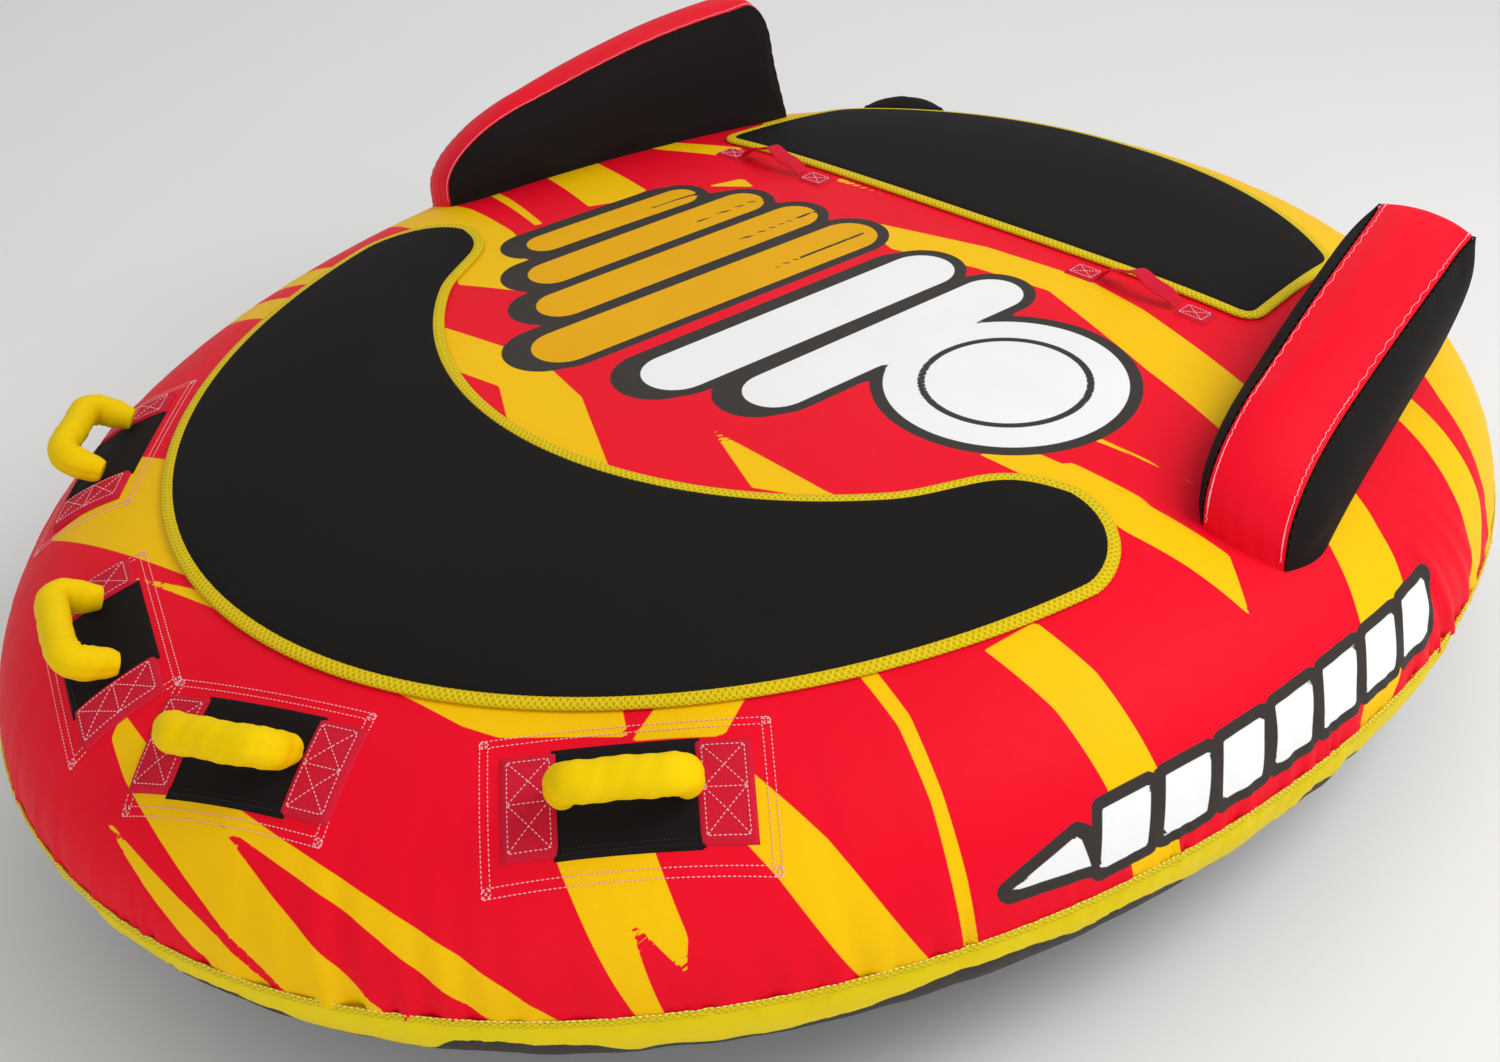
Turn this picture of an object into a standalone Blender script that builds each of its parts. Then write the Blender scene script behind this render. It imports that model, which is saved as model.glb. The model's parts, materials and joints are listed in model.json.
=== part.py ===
"""Two-rider towable deck tube: bladder, sewn covers, deck pads, side wings, hand loops and tow harness.

The tube lies on the plane z = 0.  Its front, where the riders' hands and the tow rope are, faces -Y, and
+X is the rider's right-hand wing seen from behind.  All sizes are in metres.
"""
import math

import bpy
from mathutils import Matrix, Vector

# ---- driving sizes of the inflated body -------------------------------------------------------------
HALF_WIDTH = 0.75          # half of the widest station
FRONT_REACH = 0.97         # widest station to the front edge
REAR_REACH = 0.79          # widest station to the rear edge
EDGE_HEIGHT = 0.216        # height of the seam line, where the body is widest
CROWN_HEIGHT = 0.205       # deck centre above the seam line
FRONT_FULLNESS = 2.03      # outline exponent, 2 is an ellipse
REAR_FULLNESS = 2.13
DECK_FULLNESS = 5.2        # how flat the deck stays before it rolls over the edge
FLAT_BASE = 0.40           # share of the outline that lies flat on the ground
WIDEST_Y = (FRONT_REACH - REAR_REACH) / 2

# ---- cloth, film and webbing ------------------------------------------------------------------------
FIT = 0.0003               # gap left between pieces that touch
COVER_THICK = 0.0018
BLADDER_GAP = 0.006        # bladder skin below the outside of the cover
BLADDER_THICK = 0.0012
PAD_THICK = 0.004
BINDING_WIDTH = 0.014
BINDING_THICK = 0.005
WEBBING_THICK = 0.0025
SEAM_BAND_HEIGHT = 0.014
SEAM_BAND_THICK = 0.0022
SEAM_GAP = 0.0004

# ---- deck pads --------------------------------------------------------------------------------------
FRONT_PAD_RING = 0.775     # outline share of the front pad's outer edge
FRONT_PAD_ARC_Y = 0.155    # centre of the concave edge
FRONT_PAD_ARC_RADIUS = 0.465
FRONT_PAD_TIP_Y = -0.118
REAR_PAD_RING = 0.79
REAR_PAD_FRONT_Y = 0.372
REAR_PAD_HALF_FRONT = 0.41
REAR_PAD_HALF_REAR = 0.385
REAR_PAD_CORNER = 0.045

# ---- rear cover panel -------------------------------------------------------------------------------
REAR_PANEL_RING = 0.925
REAR_PANEL_TOP_Y = 0.515   # the panel's seam starts here on its inner ring
REAR_PANEL_LOW_Y = 0.395   # and ends here on the outline

# ---- wings ------------------------------------------------------------------------------------------
WING_INNER_RING = 0.768    # ring of the inner face's foot
WING_FRONT_Y = 0.040       # front and rear ends of the inner foot
WING_REAR_Y = 0.512
WING_FRONT_THICK = 0.080
WING_REAR_THICK = 0.099
WING_FRONT_TOP = 0.060     # top edge above the deck centre at the two ends
WING_REAR_TOP = 0.120
WING_LEAN = 0.045          # outward lean of the rear top corner
WING_OUTER_DROP = 0.022    # outer top edge below the inner one
WING_SINK = 0.05           # extra depth that the deck trims away
WING_RISE = 0.11           # nominal height of the outline, from foot to top edge
WING_FRONT_CORNER = (0.120, 0.085)   # length and height of the round corners
WING_REAR_CORNER = (0.034, 0.034)
WING_FRONT_OVERHANG = 0.010
WING_REAR_DRAW_IN = 0.003  # top rear corner in front of the foot's end
WING_REAR_FLARE = 0.004
WING_TRIMS = {"snug": 0.0005, "loose": 0.003, "air": 0.005}   # clearances to the deck
WING_PANEL_THICK = 0.004
WING_GUSSET_THICK = 0.002
WING_BLADDER_GAP = 0.001
WING_FILM_THICK = 0.0018
WING_VALVE_UP = 0.046      # valve axis above the foot
WING_VALVE_SET_BACK = 0.004
WING_VALVE_RADIUS = 0.0075
WING_VALVE_BORE = 0.0045
WING_VALVE_DEPTH = 0.016
WING_VALVE_LIP = 0.0075    # underside of the flange outside the gusset
WING_VALVE_FLANGE = 0.0135
WING_VALVE_RIM = 0.002
WING_PLUG_RADIUS = 0.0112
WING_PLUG_STEM = 0.008

# ---- handles ----------------------------------------------------------------------------------------
ANCHOR_SPACING = 0.164
INNER_HANDLE_X = ANCHOR_SPACING / 2 + 0.038
HANDLE_SPOTS = {"outer": (0.4165, 0.870, 48.0), "inner": (INNER_HANDLE_X, 0.877, 24.5)}   # plan x, ring, heading
GRIP_LEANS = {"right_outer": 14.0, "right_inner": 25.0, "left_outer": 40.0, "left_inner": 42.0}   # at rest, degrees
ANCHOR_WIDTH = 0.050
ANCHOR_LENGTH = 0.092
GUARD_LENGTH = 0.098
PATCH_SIZE = (ANCHOR_SPACING + 0.040, 0.118)
GRIP_RADIUS = 0.0165
GRIP_BORE = 0.0112
GRIP_HALF_SPAN = 0.052
GRIP_AXIS_HEIGHT = 0.0225
GRIP_STAND_OFF = 0.054
GRIP_BEND = 0.020
GRIP_FOOT_REACH = 0.009    # the sleeve runs this far below the hinge line
GRIP_FOOT_SHARE = 0.8      # and is pinched to this share of its radius there
GRIP_CORE_REACH = 0.0075   # the webbing inside it stops here
GRIP_CORE_WIDTH = 0.019
ANCHOR_THICK = 0.0035
PATCH_THICK = 0.0012

# ---- deck straps ------------------------------------------------------------------------------------
STRAP_Y = 0.338
STRAP_X = (0.211, 0.359)   # middles of the two sewn tabs
STRAP_TAB = (0.040, 0.028)
STRAP_LOOP_WIDTH = 0.019
STRAP_LOOP_THICK = 0.004
STRAP_LOOP_LOW = 0.012
STRAP_LOOP_HIGH = 0.028

# ---- inflation valve --------------------------------------------------------------------------------
VALVE_X = -0.36
VALVE_RING = 0.87
VALVE_HEADING = 0.47       # radians, so that the flap's rim follows the rear edge
VALVE_BARREL = 0.0175
VALVE_BORE = 0.010
VALVE_FLANGE = 0.027
VALVE_DEPTH = 0.030
VALVE_SEAT = 0.0035        # underside of the flange above the deck
VALVE_RIM = 0.003
CAP_RADIUS = 0.0145
CAP_STEM = 0.008
CAP_THICK = 0.005
FLAP_SIZE = (0.062, 0.046)
FLAP_HEIGHT = 0.021
FLAP_THICK = 0.003
FLAP_ANGLES = (-24, 0, 22, 44, 66)   # degrees up the dome, from below the deck to near the top

# ---- tow gear, zip and drains on the underside ------------------------------------------------------
TOW_STRAP_WIDTH = 0.050
TOW_STRAP_REACH = (-0.46, -0.655)
TOW_RING_RADIUS = 0.026
TOW_RING_WIRE = 0.004
TOW_RING_CLEARANCE = 0.014
TOW_LOOP_SIZE = (0.014, 0.022)
TOW_LOOP_EYE = 0.0062
ZIP_RING = 0.745
ZIP_HALF_LENGTH = 0.20
ZIP_WIDTH = 0.032
ZIP_SLIDER = (0.022, 0.012, 0.005)
ZIP_SLIDER_TAPER = 0.7
ZIP_SLIDER_GAP = 0.0012
ZIP_TAPE_THICK = 0.00175
DRAIN_RING = 0.62
DRAIN_HOLE = 0.0075
DRAIN_WALL = 0.0025
DRAIN_DEPTH = 0.003
DRAIN_FLANGE = 0.014
DRAIN_LIP = 0.0008
DRAIN_RIM = 0.0015

# ---- smoothness of the facets -----------------------------------------------------------------------
SEGMENTS = 40
TOP_ANGLES = (0, 10, 21, 32, 43, 53, 62, 71, 79, 86)
BASE_ANGLES = (0, 12, 25, 37, 49, 61, 74, 90)
WING_STATIONS = 7
BEYOND = 1.5               # a region's cutter reaches this far past the outline
SEAM_RUN_OUT = 0.3         # and a slanted seam this far past its low end
HOLE_REACH = 0.03          # a round cutter reaches this far each side of a skin
PATCH_REACH = (-0.06, 0.06)   # a patch's cutter, below and above the deck


# ---- materials --------------------------------------------------------------------------------------
def material(name, colour, roughness, metallic=0.0):
    mat = bpy.data.materials.new(name)
    mat.use_nodes = True
    mat.diffuse_color = (*colour, 1.0)
    shader = mat.node_tree.nodes["Principled BSDF"]
    shader.inputs["Base Color"].default_value = (*colour, 1.0)
    shader.inputs["Roughness"].default_value = roughness
    shader.inputs["Metallic"].default_value = metallic
    return mat


def make_materials():
    return {
        "red_nylon": material("red_nylon", (0.80, 0.005, 0.03), 0.55),
        "yellow_nylon": material("yellow_nylon", (0.86, 0.56, 0.0), 0.55),
        "dark_nylon": material("dark_nylon", (0.06, 0.05, 0.05), 0.6),
        "neoprene": material("neoprene", (0.022, 0.018, 0.018), 0.8),
        "yellow_tape": material("yellow_tape", (0.80, 0.55, 0.01), 0.65),
        "red_webbing": material("red_webbing", (0.70, 0.004, 0.03), 0.6),
        "black_webbing": material("black_webbing", (0.02, 0.02, 0.02), 0.65),
        "pvc": material("pvc", (0.10, 0.10, 0.11), 0.35),
        "valve_plastic": material("valve_plastic", (0.03, 0.03, 0.03), 0.4),
        "steel": material("steel", (0.62, 0.62, 0.63), 0.3, 1.0),
    }


# ---- the inflated body's surface --------------------------------------------------------------------
def outline_point(turn, ring):
    """Plan point on the outline scaled by ring, at an angle measured from +X."""
    cos, sin = math.cos(turn), math.sin(turn)
    reach, fullness = (REAR_REACH, REAR_FULLNESS) if sin >= 0 else (FRONT_REACH, FRONT_FULLNESS)
    x = math.copysign(abs(cos) ** (2 / fullness), cos) * HALF_WIDTH * ring
    y = math.copysign(abs(sin) ** (2 / fullness), sin) * reach * ring
    return x, y + WIDEST_Y


def ring_of(x, y):
    """Share of the outline that passes through a plan point, and its gradient."""
    along = y - WIDEST_Y
    reach, fullness = (REAR_REACH, REAR_FULLNESS) if along >= 0 else (FRONT_REACH, FRONT_FULLNESS)
    across, length = abs(x) / HALF_WIDTH, abs(along) / reach
    ring = (across ** fullness + length ** fullness) ** (1 / fullness)
    if ring < 1e-9:
        return 0.0, (0.0, 0.0)
    scale = ring ** (1 - fullness)
    slope_x = math.copysign(scale * across ** (fullness - 1) / HALF_WIDTH, x)
    slope_y = math.copysign(scale * length ** (fullness - 1) / reach, along)
    return ring, (slope_x, slope_y)


def plan_y(x, ring, rear):
    """The y at which a ring crosses a given x, on the rear or the front half."""
    reach, fullness = (REAR_REACH, REAR_FULLNESS) if rear else (FRONT_REACH, FRONT_FULLNESS)
    along = reach * ring * (1 - (abs(x) / (ring * HALF_WIDTH)) ** fullness) ** (1 / fullness)
    return WIDEST_Y + (along if rear else -along)


def plan_x(y, ring):
    """The positive x at which a ring crosses a given y."""
    along = y - WIDEST_Y
    reach, fullness = (REAR_REACH, REAR_FULLNESS) if along >= 0 else (FRONT_REACH, FRONT_FULLNESS)
    return HALF_WIDTH * ring * (1 - (abs(along) / (ring * reach)) ** fullness) ** (1 / fullness)


def top_point(x, y, lift=0.0):
    """Point above plan (x, y) on the upper skin, moved out along its normal, with that normal."""
    ring, slope = ring_of(x, y)
    ring = min(ring, 1.0)
    rise = CROWN_HEIGHT * math.sqrt(1 - ring ** DECK_FULLNESS)
    steep = DECK_FULLNESS * ring ** (DECK_FULLNESS - 1)
    normal = Vector((steep * slope[0], steep * slope[1], 2 * rise / CROWN_HEIGHT ** 2)).normalized()
    return Vector((x, y, EDGE_HEIGHT + rise)) + normal * lift, normal


def base_point(x, y, lift=0.0):
    """The same on the lower skin, whose middle lies flat on the ground."""
    ring, slope = ring_of(x, y)
    share = min(max((ring - FLAT_BASE) / (1 - FLAT_BASE), 0.0), 1.0)
    drop = EDGE_HEIGHT * math.sqrt(1 - share ** 2)
    steep = 2 * share / (1 - FLAT_BASE)
    normal = Vector((steep * slope[0], steep * slope[1], -2 * drop / EDGE_HEIGHT ** 2)).normalized()
    return Vector((x, y, EDGE_HEIGHT - drop)) + normal * lift, normal


def turns():
    return [2 * math.pi * k / SEGMENTS for k in range(SEGMENTS)]


def top_rings(lift):
    """Rings of the upper skin from the seam line to near the deck centre."""
    rings = []
    for angle in TOP_ANGLES:
        ring = math.cos(math.radians(angle)) ** (2 / DECK_FULLNESS)
        rings.append([top_point(*outline_point(turn, ring), lift)[0] for turn in turns()])
    return rings


def base_rings(lift):
    """Rings of the lower skin from the seam line to the edge of the flat base."""
    rings = []
    for angle in BASE_ANGLES:
        ring = FLAT_BASE + (1 - FLAT_BASE) * math.cos(math.radians(angle))
        rings.append([base_point(*outline_point(turn, ring), lift)[0] for turn in turns()])
    return rings


# ---- mesh building ----------------------------------------------------------------------------------
def face_outwards(mesh):
    """Turns a closed mesh's faces outwards by the sign of its volume."""
    mesh.calc_loop_triangles()
    corners = [[mesh.vertices[v].co for v in triangle.vertices] for triangle in mesh.loop_triangles]
    if sum(a.dot(b.cross(c)) for a, b, c in corners) < 0:
        mesh.flip_normals()


def make_object(name, verts, faces, mat=None, smooth_angle=None):
    mesh = bpy.data.meshes.new(name)
    mesh.from_pydata([tuple(v) for v in verts], [], faces)
    mesh.validate()
    face_outwards(mesh)
    obj = bpy.data.objects.new(name, mesh)
    bpy.context.collection.objects.link(obj)
    if mat:
        mesh.materials.append(mat)
    if smooth_angle:
        mesh.shade_smooth()
        mesh.set_sharp_from_angle(angle=math.radians(smooth_angle))
    return obj


def as_cutter(obj):
    obj.hide_render = True
    obj.display_type = "WIRE"
    return obj


def boolean(obj, cutter, operation):
    mod = obj.modifiers.new(f"{operation.lower()}_{cutter.name}", "BOOLEAN")
    mod.operation = operation
    mod.solver = "EXACT"
    mod.object = cutter


def skin_rings(rings, closed_loop=False):
    """Quads between neighbouring rings; ring k starts at vertex k * len(ring)."""
    size = len(rings[0])
    faces = []
    spans = len(rings) if closed_loop else len(rings) - 1
    for level in range(spans):
        low, high = level * size, (level + 1) % len(rings) * size
        for k in range(size):
            after = (k + 1) % size
            faces.append((low + k, low + after, high + after, high + k))
    return [v for ring in rings for v in ring], faces


def cone_end(faces, start, size, tip, flip):
    """Triangles from a ring that starts at vertex start to a tip vertex."""
    for k in range(size):
        after = (k + 1) % size
        first, second = start + k, start + after
        faces.append((second, first, tip) if flip else (first, second, tip))


def body_solid(name, lift, mat=None):
    """The whole inflated body, grown or shrunk by lift, as one closed solid."""
    rings = list(reversed(base_rings(lift)))[:-1] + top_rings(lift)
    verts, faces = skin_rings(rings)
    verts.append(base_point(0, WIDEST_Y, lift)[0])
    cone_end(faces, 0, SEGMENTS, len(verts) - 1, True)
    verts.append(top_point(0, WIDEST_Y, lift)[0])
    cone_end(faces, (len(rings) - 1) * SEGMENTS, SEGMENTS, len(verts) - 1, False)
    return make_object(name, verts, faces, mat, 30)


def half_shell(name, rings_at, point_at, low, high, seam_shift, mat=None):
    """A sheet between two lifts that runs from the seam line to the middle of one side."""
    outer, inner = rings_at(high), rings_at(low)
    for ring in (outer[0], inner[0]):
        for v in ring:
            v.z += seam_shift
    verts, faces = skin_rings(list(reversed(inner)) + outer)
    verts.append(point_at(0, WIDEST_Y, low)[0])
    cone_end(faces, 0, SEGMENTS, len(verts) - 1, True)
    verts.append(point_at(0, WIDEST_Y, high)[0])
    cone_end(faces, (len(outer) + len(inner) - 1) * SEGMENTS, SEGMENTS, len(verts) - 1, False)
    return make_object(name, verts, faces, mat, 30)


def top_sheet(name, low, high, mat=None):
    return half_shell(name, top_rings, top_point, low, high, SEAM_GAP / 2, mat)


def base_sheet(name, low, high, mat=None):
    return half_shell(name, base_rings, base_point, low, high, -SEAM_GAP / 2, mat)


def prism(name, outline, frame, depth):
    """A straight-sided cutter: a plan outline in frame's X and Y, run through its Z both ways."""
    size = len(outline)
    verts = [frame @ Vector((x, y, z)) for z in depth for x, y in outline]
    faces = [tuple(reversed(range(size))), tuple(range(size, 2 * size))]
    faces += [(k, (k + 1) % size, (k + 1) % size + size, k + size) for k in range(size)]
    return as_cutter(make_object(name, verts, faces))


def ring_prism(name, outline, frame, depth, half_width):
    """A cutter for a tape that follows an outline, half_width to each side of it."""
    outer, inner = offset_outline(outline, half_width), offset_outline(outline, -half_width)
    size = len(outline)
    rings = [[frame @ Vector((x, y, z)) for x, y in side]
             for side, z in ((inner, depth[0]), (outer, depth[0]), (outer, depth[1]), (inner, depth[1]))]
    verts, faces = skin_rings(rings, closed_loop=True)
    return as_cutter(make_object(name, verts, faces))


def offset_outline(outline, distance):
    """An anticlockwise outline moved outwards by a distance."""
    size = len(outline)
    moved = []
    for k, (x, y) in enumerate(outline):
        before, after = outline[k - 1], outline[(k + 1) % size]
        tangent = Vector((after[0] - before[0], after[1] - before[1])).normalized()
        moved.append((x + tangent.y * distance, y - tangent.x * distance))
    return moved


def rounded(corners, radius, steps=5):
    """A polygon's corners cut by curves that leave radius before and after each corner."""
    points = []
    for k, corner in enumerate(corners):
        here = Vector(corner)
        start = here + (Vector(corners[k - 1]) - here).normalized() * radius
        stop = here + (Vector(corners[(k + 1) % len(corners)]) - here).normalized() * radius
        for step in range(steps + 1):
            t = step / steps
            points.append(tuple(start * (1 - t) ** 2 + here * 2 * t * (1 - t) + stop * t ** 2))
    return points


def rectangle(length, width, radius=0.003, centre=(0.0, 0.0)):
    half_x, half_y = length / 2, width / 2
    corners = [(-half_x, -half_y), (half_x, -half_y), (half_x, half_y), (-half_x, half_y)]
    return [(x + centre[0], y + centre[1]) for x, y in rounded(corners, radius, 2)]


def turned(name, profile, frame, mat, sides=20):
    """A solid turned about frame's Z from (radius, height) points that run round its section."""
    rings = [[frame @ Vector((r * math.cos(a), r * math.sin(a), z))
              for a in (2 * math.pi * k / sides for k in range(sides))] for r, z in profile]
    verts, faces = skin_rings(rings, closed_loop=True)
    return make_object(name, verts, faces, mat, 40)


def plug_shape(name, profile, frame, mat, sides=20):
    """A turned solid with flat ends: profile runs from its lower to its upper end."""
    rings = [[frame @ Vector((r * math.cos(a), r * math.sin(a), z))
              for a in (2 * math.pi * k / sides for k in range(sides))] for r, z in profile]
    verts, faces = skin_rings(rings)
    faces.append(tuple(reversed(range(sides))))
    faces.append(tuple(range((len(profile) - 1) * sides, len(profile) * sides)))
    return make_object(name, verts, faces, mat, 40)


def hole_cutter(name, radius, frame, sides):
    return as_cutter(plug_shape(name, [(radius, -HOLE_REACH), (radius, HOLE_REACH)], frame, None, sides))


def swept(path, section, side_axis):
    """Rings of a section carried along a path that lies across side_axis."""
    rings = []
    for k, here in enumerate(path):
        ahead = path[min(k + 1, len(path) - 1)] - path[max(k - 1, 0)]
        up = side_axis.cross(ahead.normalized()).normalized()
        rings.append([here + side_axis * a + up * b for a, b in section(k)])
    return rings


def flat_section(width, thick):
    """A section function for a flat strap: the same rectangle all along its path."""
    a, b = width / 2, thick / 2
    return lambda k: [(-a, -b), (a, -b), (a, b), (-a, b)]


def capped_sweep(name, rings, mat=None, smooth_angle=40):
    size = len(rings[0])
    verts, faces = skin_rings(rings)
    faces.append(tuple(reversed(range(size))))
    faces.append(tuple(range((len(rings) - 1) * size, len(rings) * size)))
    return make_object(name, verts, faces, mat, smooth_angle)


def surface_frame(x, y, heading, point_at=top_point):
    """A frame on the skin: X along the heading, Z out of the surface."""
    origin, normal = point_at(x, y)
    along = Vector((math.cos(heading), math.sin(heading), 0.0))
    along = (along - normal * along.dot(normal)).normalized()
    across = normal.cross(along)
    frame = Matrix((along, across, normal)).transposed().to_4x4()
    frame.translation = origin
    return frame


PLAN = Matrix.Identity(4)
DECK_HEIGHT = EDGE_HEIGHT + CROWN_HEIGHT
TOP_REACH = (EDGE_HEIGHT / 2, DECK_HEIGHT + EDGE_HEIGHT / 2)
BASE_REACH = (-EDGE_HEIGHT / 2, EDGE_HEIGHT * 0.9)


# ---- covers and bladder -----------------------------------------------------------------------------
def rear_panel_outline(gap):
    """Plan outline of the rear panel's region; gap moves its seam outwards."""
    ring = REAR_PANEL_RING + gap / HALF_WIDTH
    top_right = (plan_x(REAR_PANEL_TOP_Y + gap, ring), REAR_PANEL_TOP_Y + gap)
    low_right = (plan_x(REAR_PANEL_LOW_Y + gap, 1.0), REAR_PANEL_LOW_Y + gap)
    reach = Vector(low_right) - Vector(top_right)
    far_right = tuple(Vector(low_right) + reach.normalized() * SEAM_RUN_OUT)
    inner = []
    steps = 28
    for k in range(1, steps):
        x = top_right[0] * (1 - 2 * k / steps)
        inner.append((x, plan_y(x, ring, True)))
    mirrored = [(-far_right[0], far_right[1]), (-top_right[0], top_right[1])]
    outer = [(far_right[0], BEYOND), (-far_right[0], BEYOND)]
    return [*outer, *mirrored, *reversed(inner), top_right, far_right]


def build_covers(mats, valve_frame):
    hole = hole_cutter("cut_valve_hole", VALVE_BARREL + FIT, valve_frame, 24)
    top = top_sheet("top_cover", -COVER_THICK, 0.0, mats["red_nylon"])
    boolean(top, prism("cut_rear_region", rear_panel_outline(0.0), PLAN, TOP_REACH), "DIFFERENCE")
    boolean(top, hole, "DIFFERENCE")
    rear = top_sheet("rear_cover_panel", -COVER_THICK, 0.0, mats["yellow_nylon"])
    boolean(rear, prism("cut_rear_panel", rear_panel_outline(FIT * 2), PLAN, TOP_REACH), "INTERSECT")
    bottom = base_sheet("bottom_cover", -COVER_THICK, 0.0, mats["dark_nylon"])
    for label, frame in drain_frames().items():
        boolean(bottom, hole_cutter(f"cut_{label}_drain", DRAIN_HOLE + FIT, frame, 16), "DIFFERENCE")
    bladder = body_solid("main_bladder", -BLADDER_GAP, mats["pvc"])
    boolean(bladder, as_cutter(body_solid("cut_bladder_air", -BLADDER_GAP - BLADDER_THICK)), "DIFFERENCE")
    boolean(bladder, hole, "DIFFERENCE")
    half = SEAM_BAND_HEIGHT / 2
    rings = []
    for lift, height in ((FIT, -half), (SEAM_BAND_THICK, -half), (SEAM_BAND_THICK, half), (FIT, half)):
        ring = [top_point(*outline_point(turn, 1.0), lift)[0] + Vector((0, 0, height)) for turn in turns()]
        rings.append(ring)
    verts, faces = skin_rings(rings, closed_loop=True)
    make_object("seam_binding", verts, faces, mats["yellow_nylon"])


# ---- deck pads --------------------------------------------------------------------------------------
def front_pad_outline():
    """Anticlockwise crescent: the outer edge, a round tip, the concave edge and the other tip."""
    outer_x = plan_x(FRONT_PAD_TIP_Y, FRONT_PAD_RING)
    depth = FRONT_PAD_ARC_Y - FRONT_PAD_TIP_Y
    inner_x = math.sqrt(FRONT_PAD_ARC_RADIUS ** 2 - depth ** 2)
    tip_x, tip_radius = (outer_x + inner_x) / 2, (outer_x - inner_x) / 2
    points = []
    steps = 26
    for k in range(steps + 1):
        turn = math.pi + math.pi * k / steps
        share = -math.cos(turn - math.pi)
        x = outer_x * share
        points.append((x, plan_y(x, FRONT_PAD_RING, False)))
    round_tip = [(tip_radius * math.cos(math.pi * k / 8), FRONT_PAD_TIP_Y + tip_radius * math.sin(math.pi * k / 8))
                 for k in range(1, 8)]
    points += [(tip_x + x, y) for x, y in round_tip]
    swing = math.acos(depth / FRONT_PAD_ARC_RADIUS)
    for k in range(17):
        angle = -math.pi / 2 + swing * (1 - 2 * k / 16)
        points.append((FRONT_PAD_ARC_RADIUS * math.cos(angle),
                       FRONT_PAD_ARC_Y + FRONT_PAD_ARC_RADIUS * math.sin(angle)))
    points += [(x - tip_x, y) for x, y in round_tip]
    return points


def rear_pad_outline():
    """Anticlockwise: a straight front edge, short sides and a rear edge along a ring of the body."""
    rear_y = plan_y(REAR_PAD_HALF_REAR, REAR_PAD_RING, True)
    front_left = (-REAR_PAD_HALF_FRONT, REAR_PAD_FRONT_Y)
    front_right = (REAR_PAD_HALF_FRONT, REAR_PAD_FRONT_Y)
    arc = []
    for k in range(1, 20):
        x = REAR_PAD_HALF_REAR * (1 - 2 * k / 20)
        arc.append((x, plan_y(x, REAR_PAD_RING, True)))
    rear_right, rear_left = (REAR_PAD_HALF_REAR, rear_y), (-REAR_PAD_HALF_REAR, rear_y)
    corners = [front_left, front_right, rear_right, arc[2], arc[-3], rear_left]
    curved = rounded(corners, REAR_PAD_CORNER, 5)
    sharp = len(curved) // len(corners)
    first_three, last = curved[:3 * sharp], curved[5 * sharp:]
    return [*first_three, *arc[2:-2], *last]


def build_pad(name, outline, mats):
    half = BINDING_WIDTH / 2
    pad = top_sheet(name, FIT, PAD_THICK, mats["neoprene"])
    inside = offset_outline(outline, -half - FIT * 2)
    boolean(pad, prism(f"cut_{name}", inside, PLAN, TOP_REACH), "INTERSECT")
    tape = top_sheet(f"{name}_binding", FIT, BINDING_THICK, mats["yellow_tape"])
    boolean(tape, ring_prism(f"cut_{name}_binding", outline, PLAN, TOP_REACH, half), "INTERSECT")


# ---- wings ------------------------------------------------------------------------------------------
def wing_places(side):
    """The four foot points and four top points of a wing, inner then outer, front then rear."""
    inner, outer = [], []
    ends = ((WING_FRONT_Y, WING_FRONT_TOP, WING_FRONT_THICK, 0.0),
            (WING_REAR_Y, WING_REAR_TOP, WING_REAR_THICK, WING_LEAN))
    foot = [Vector((plan_x(end[0], WING_INNER_RING), end[0], 0)) for end in ends]
    along = (foot[1] - foot[0]).normalized()
    out = Vector((along.y, -along.x, 0))
    for place, (_, top, thick, lean) in zip(foot, ends):
        low = top_point(place.x, place.y)[0]
        inner.append((low, Vector((low.x + out.x * lean, low.y + out.y * lean, DECK_HEIGHT + top))))
        edge = place + out * thick
        low_out = top_point(edge.x, edge.y)[0]
        top_out = edge + out * lean
        top_out.z = DECK_HEIGHT + top - WING_OUTER_DROP
        outer.append((low_out, top_out))
    flip = Vector((side, 1, 1))
    return [[(low * flip, high * flip) for low, high in face] for face in (inner, outer)]


def wing_map(side):
    """A function from (along, height, depth) in metres to a point; depth runs from the inner face out."""
    inner, outer = wing_places(side)
    length = (inner[1][0] - inner[0][0]).length

    def place(along, up, share):
        u, k = along / length, up / WING_RISE
        points = []
        for front, rear in (inner, outer):
            low, high = front[0].lerp(rear[0], u), front[1].lerp(rear[1], u)
            points.append(low.lerp(high, k))
        return points[0].lerp(points[1], share)

    return place, length


def wing_outline(length, inset):
    """Path from the front foot over the top to the rear foot, moved inwards by inset."""
    front_reach, front_rise = WING_FRONT_CORNER
    rear_reach, rear_rise = WING_REAR_CORNER
    front_turn = front_reach - WING_FRONT_OVERHANG
    rear_turn = length - WING_REAR_DRAW_IN - rear_reach
    points = [(-WING_FRONT_OVERHANG, -WING_SINK)]
    for k in range(7):
        angle = math.pi - math.pi / 2 * k / 6
        points.append((front_turn + front_reach * math.cos(angle),
                       WING_RISE - front_rise + front_rise * math.sin(angle)))
    for k in range(1, WING_STATIONS):
        points.append((front_turn + (rear_turn - front_turn) * k / WING_STATIONS, WING_RISE))
    for k in range(6):
        angle = math.pi / 2 * (1 - k / 5)
        points.append((rear_turn + rear_reach * math.cos(angle),
                       WING_RISE - rear_rise + rear_rise * math.sin(angle)))
    points += [(length, 0.0), (length + WING_REAR_FLARE, -WING_SINK)]
    if not inset:
        return points
    moved = []
    for k, (a, h) in enumerate(points):
        before, after = points[max(k - 1, 0)], points[min(k + 1, len(points) - 1)]
        tangent = Vector((after[0] - before[0], after[1] - before[1])).normalized()
        moved.append((a + tangent.y * inset, h - tangent.x * inset))
    return moved


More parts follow.
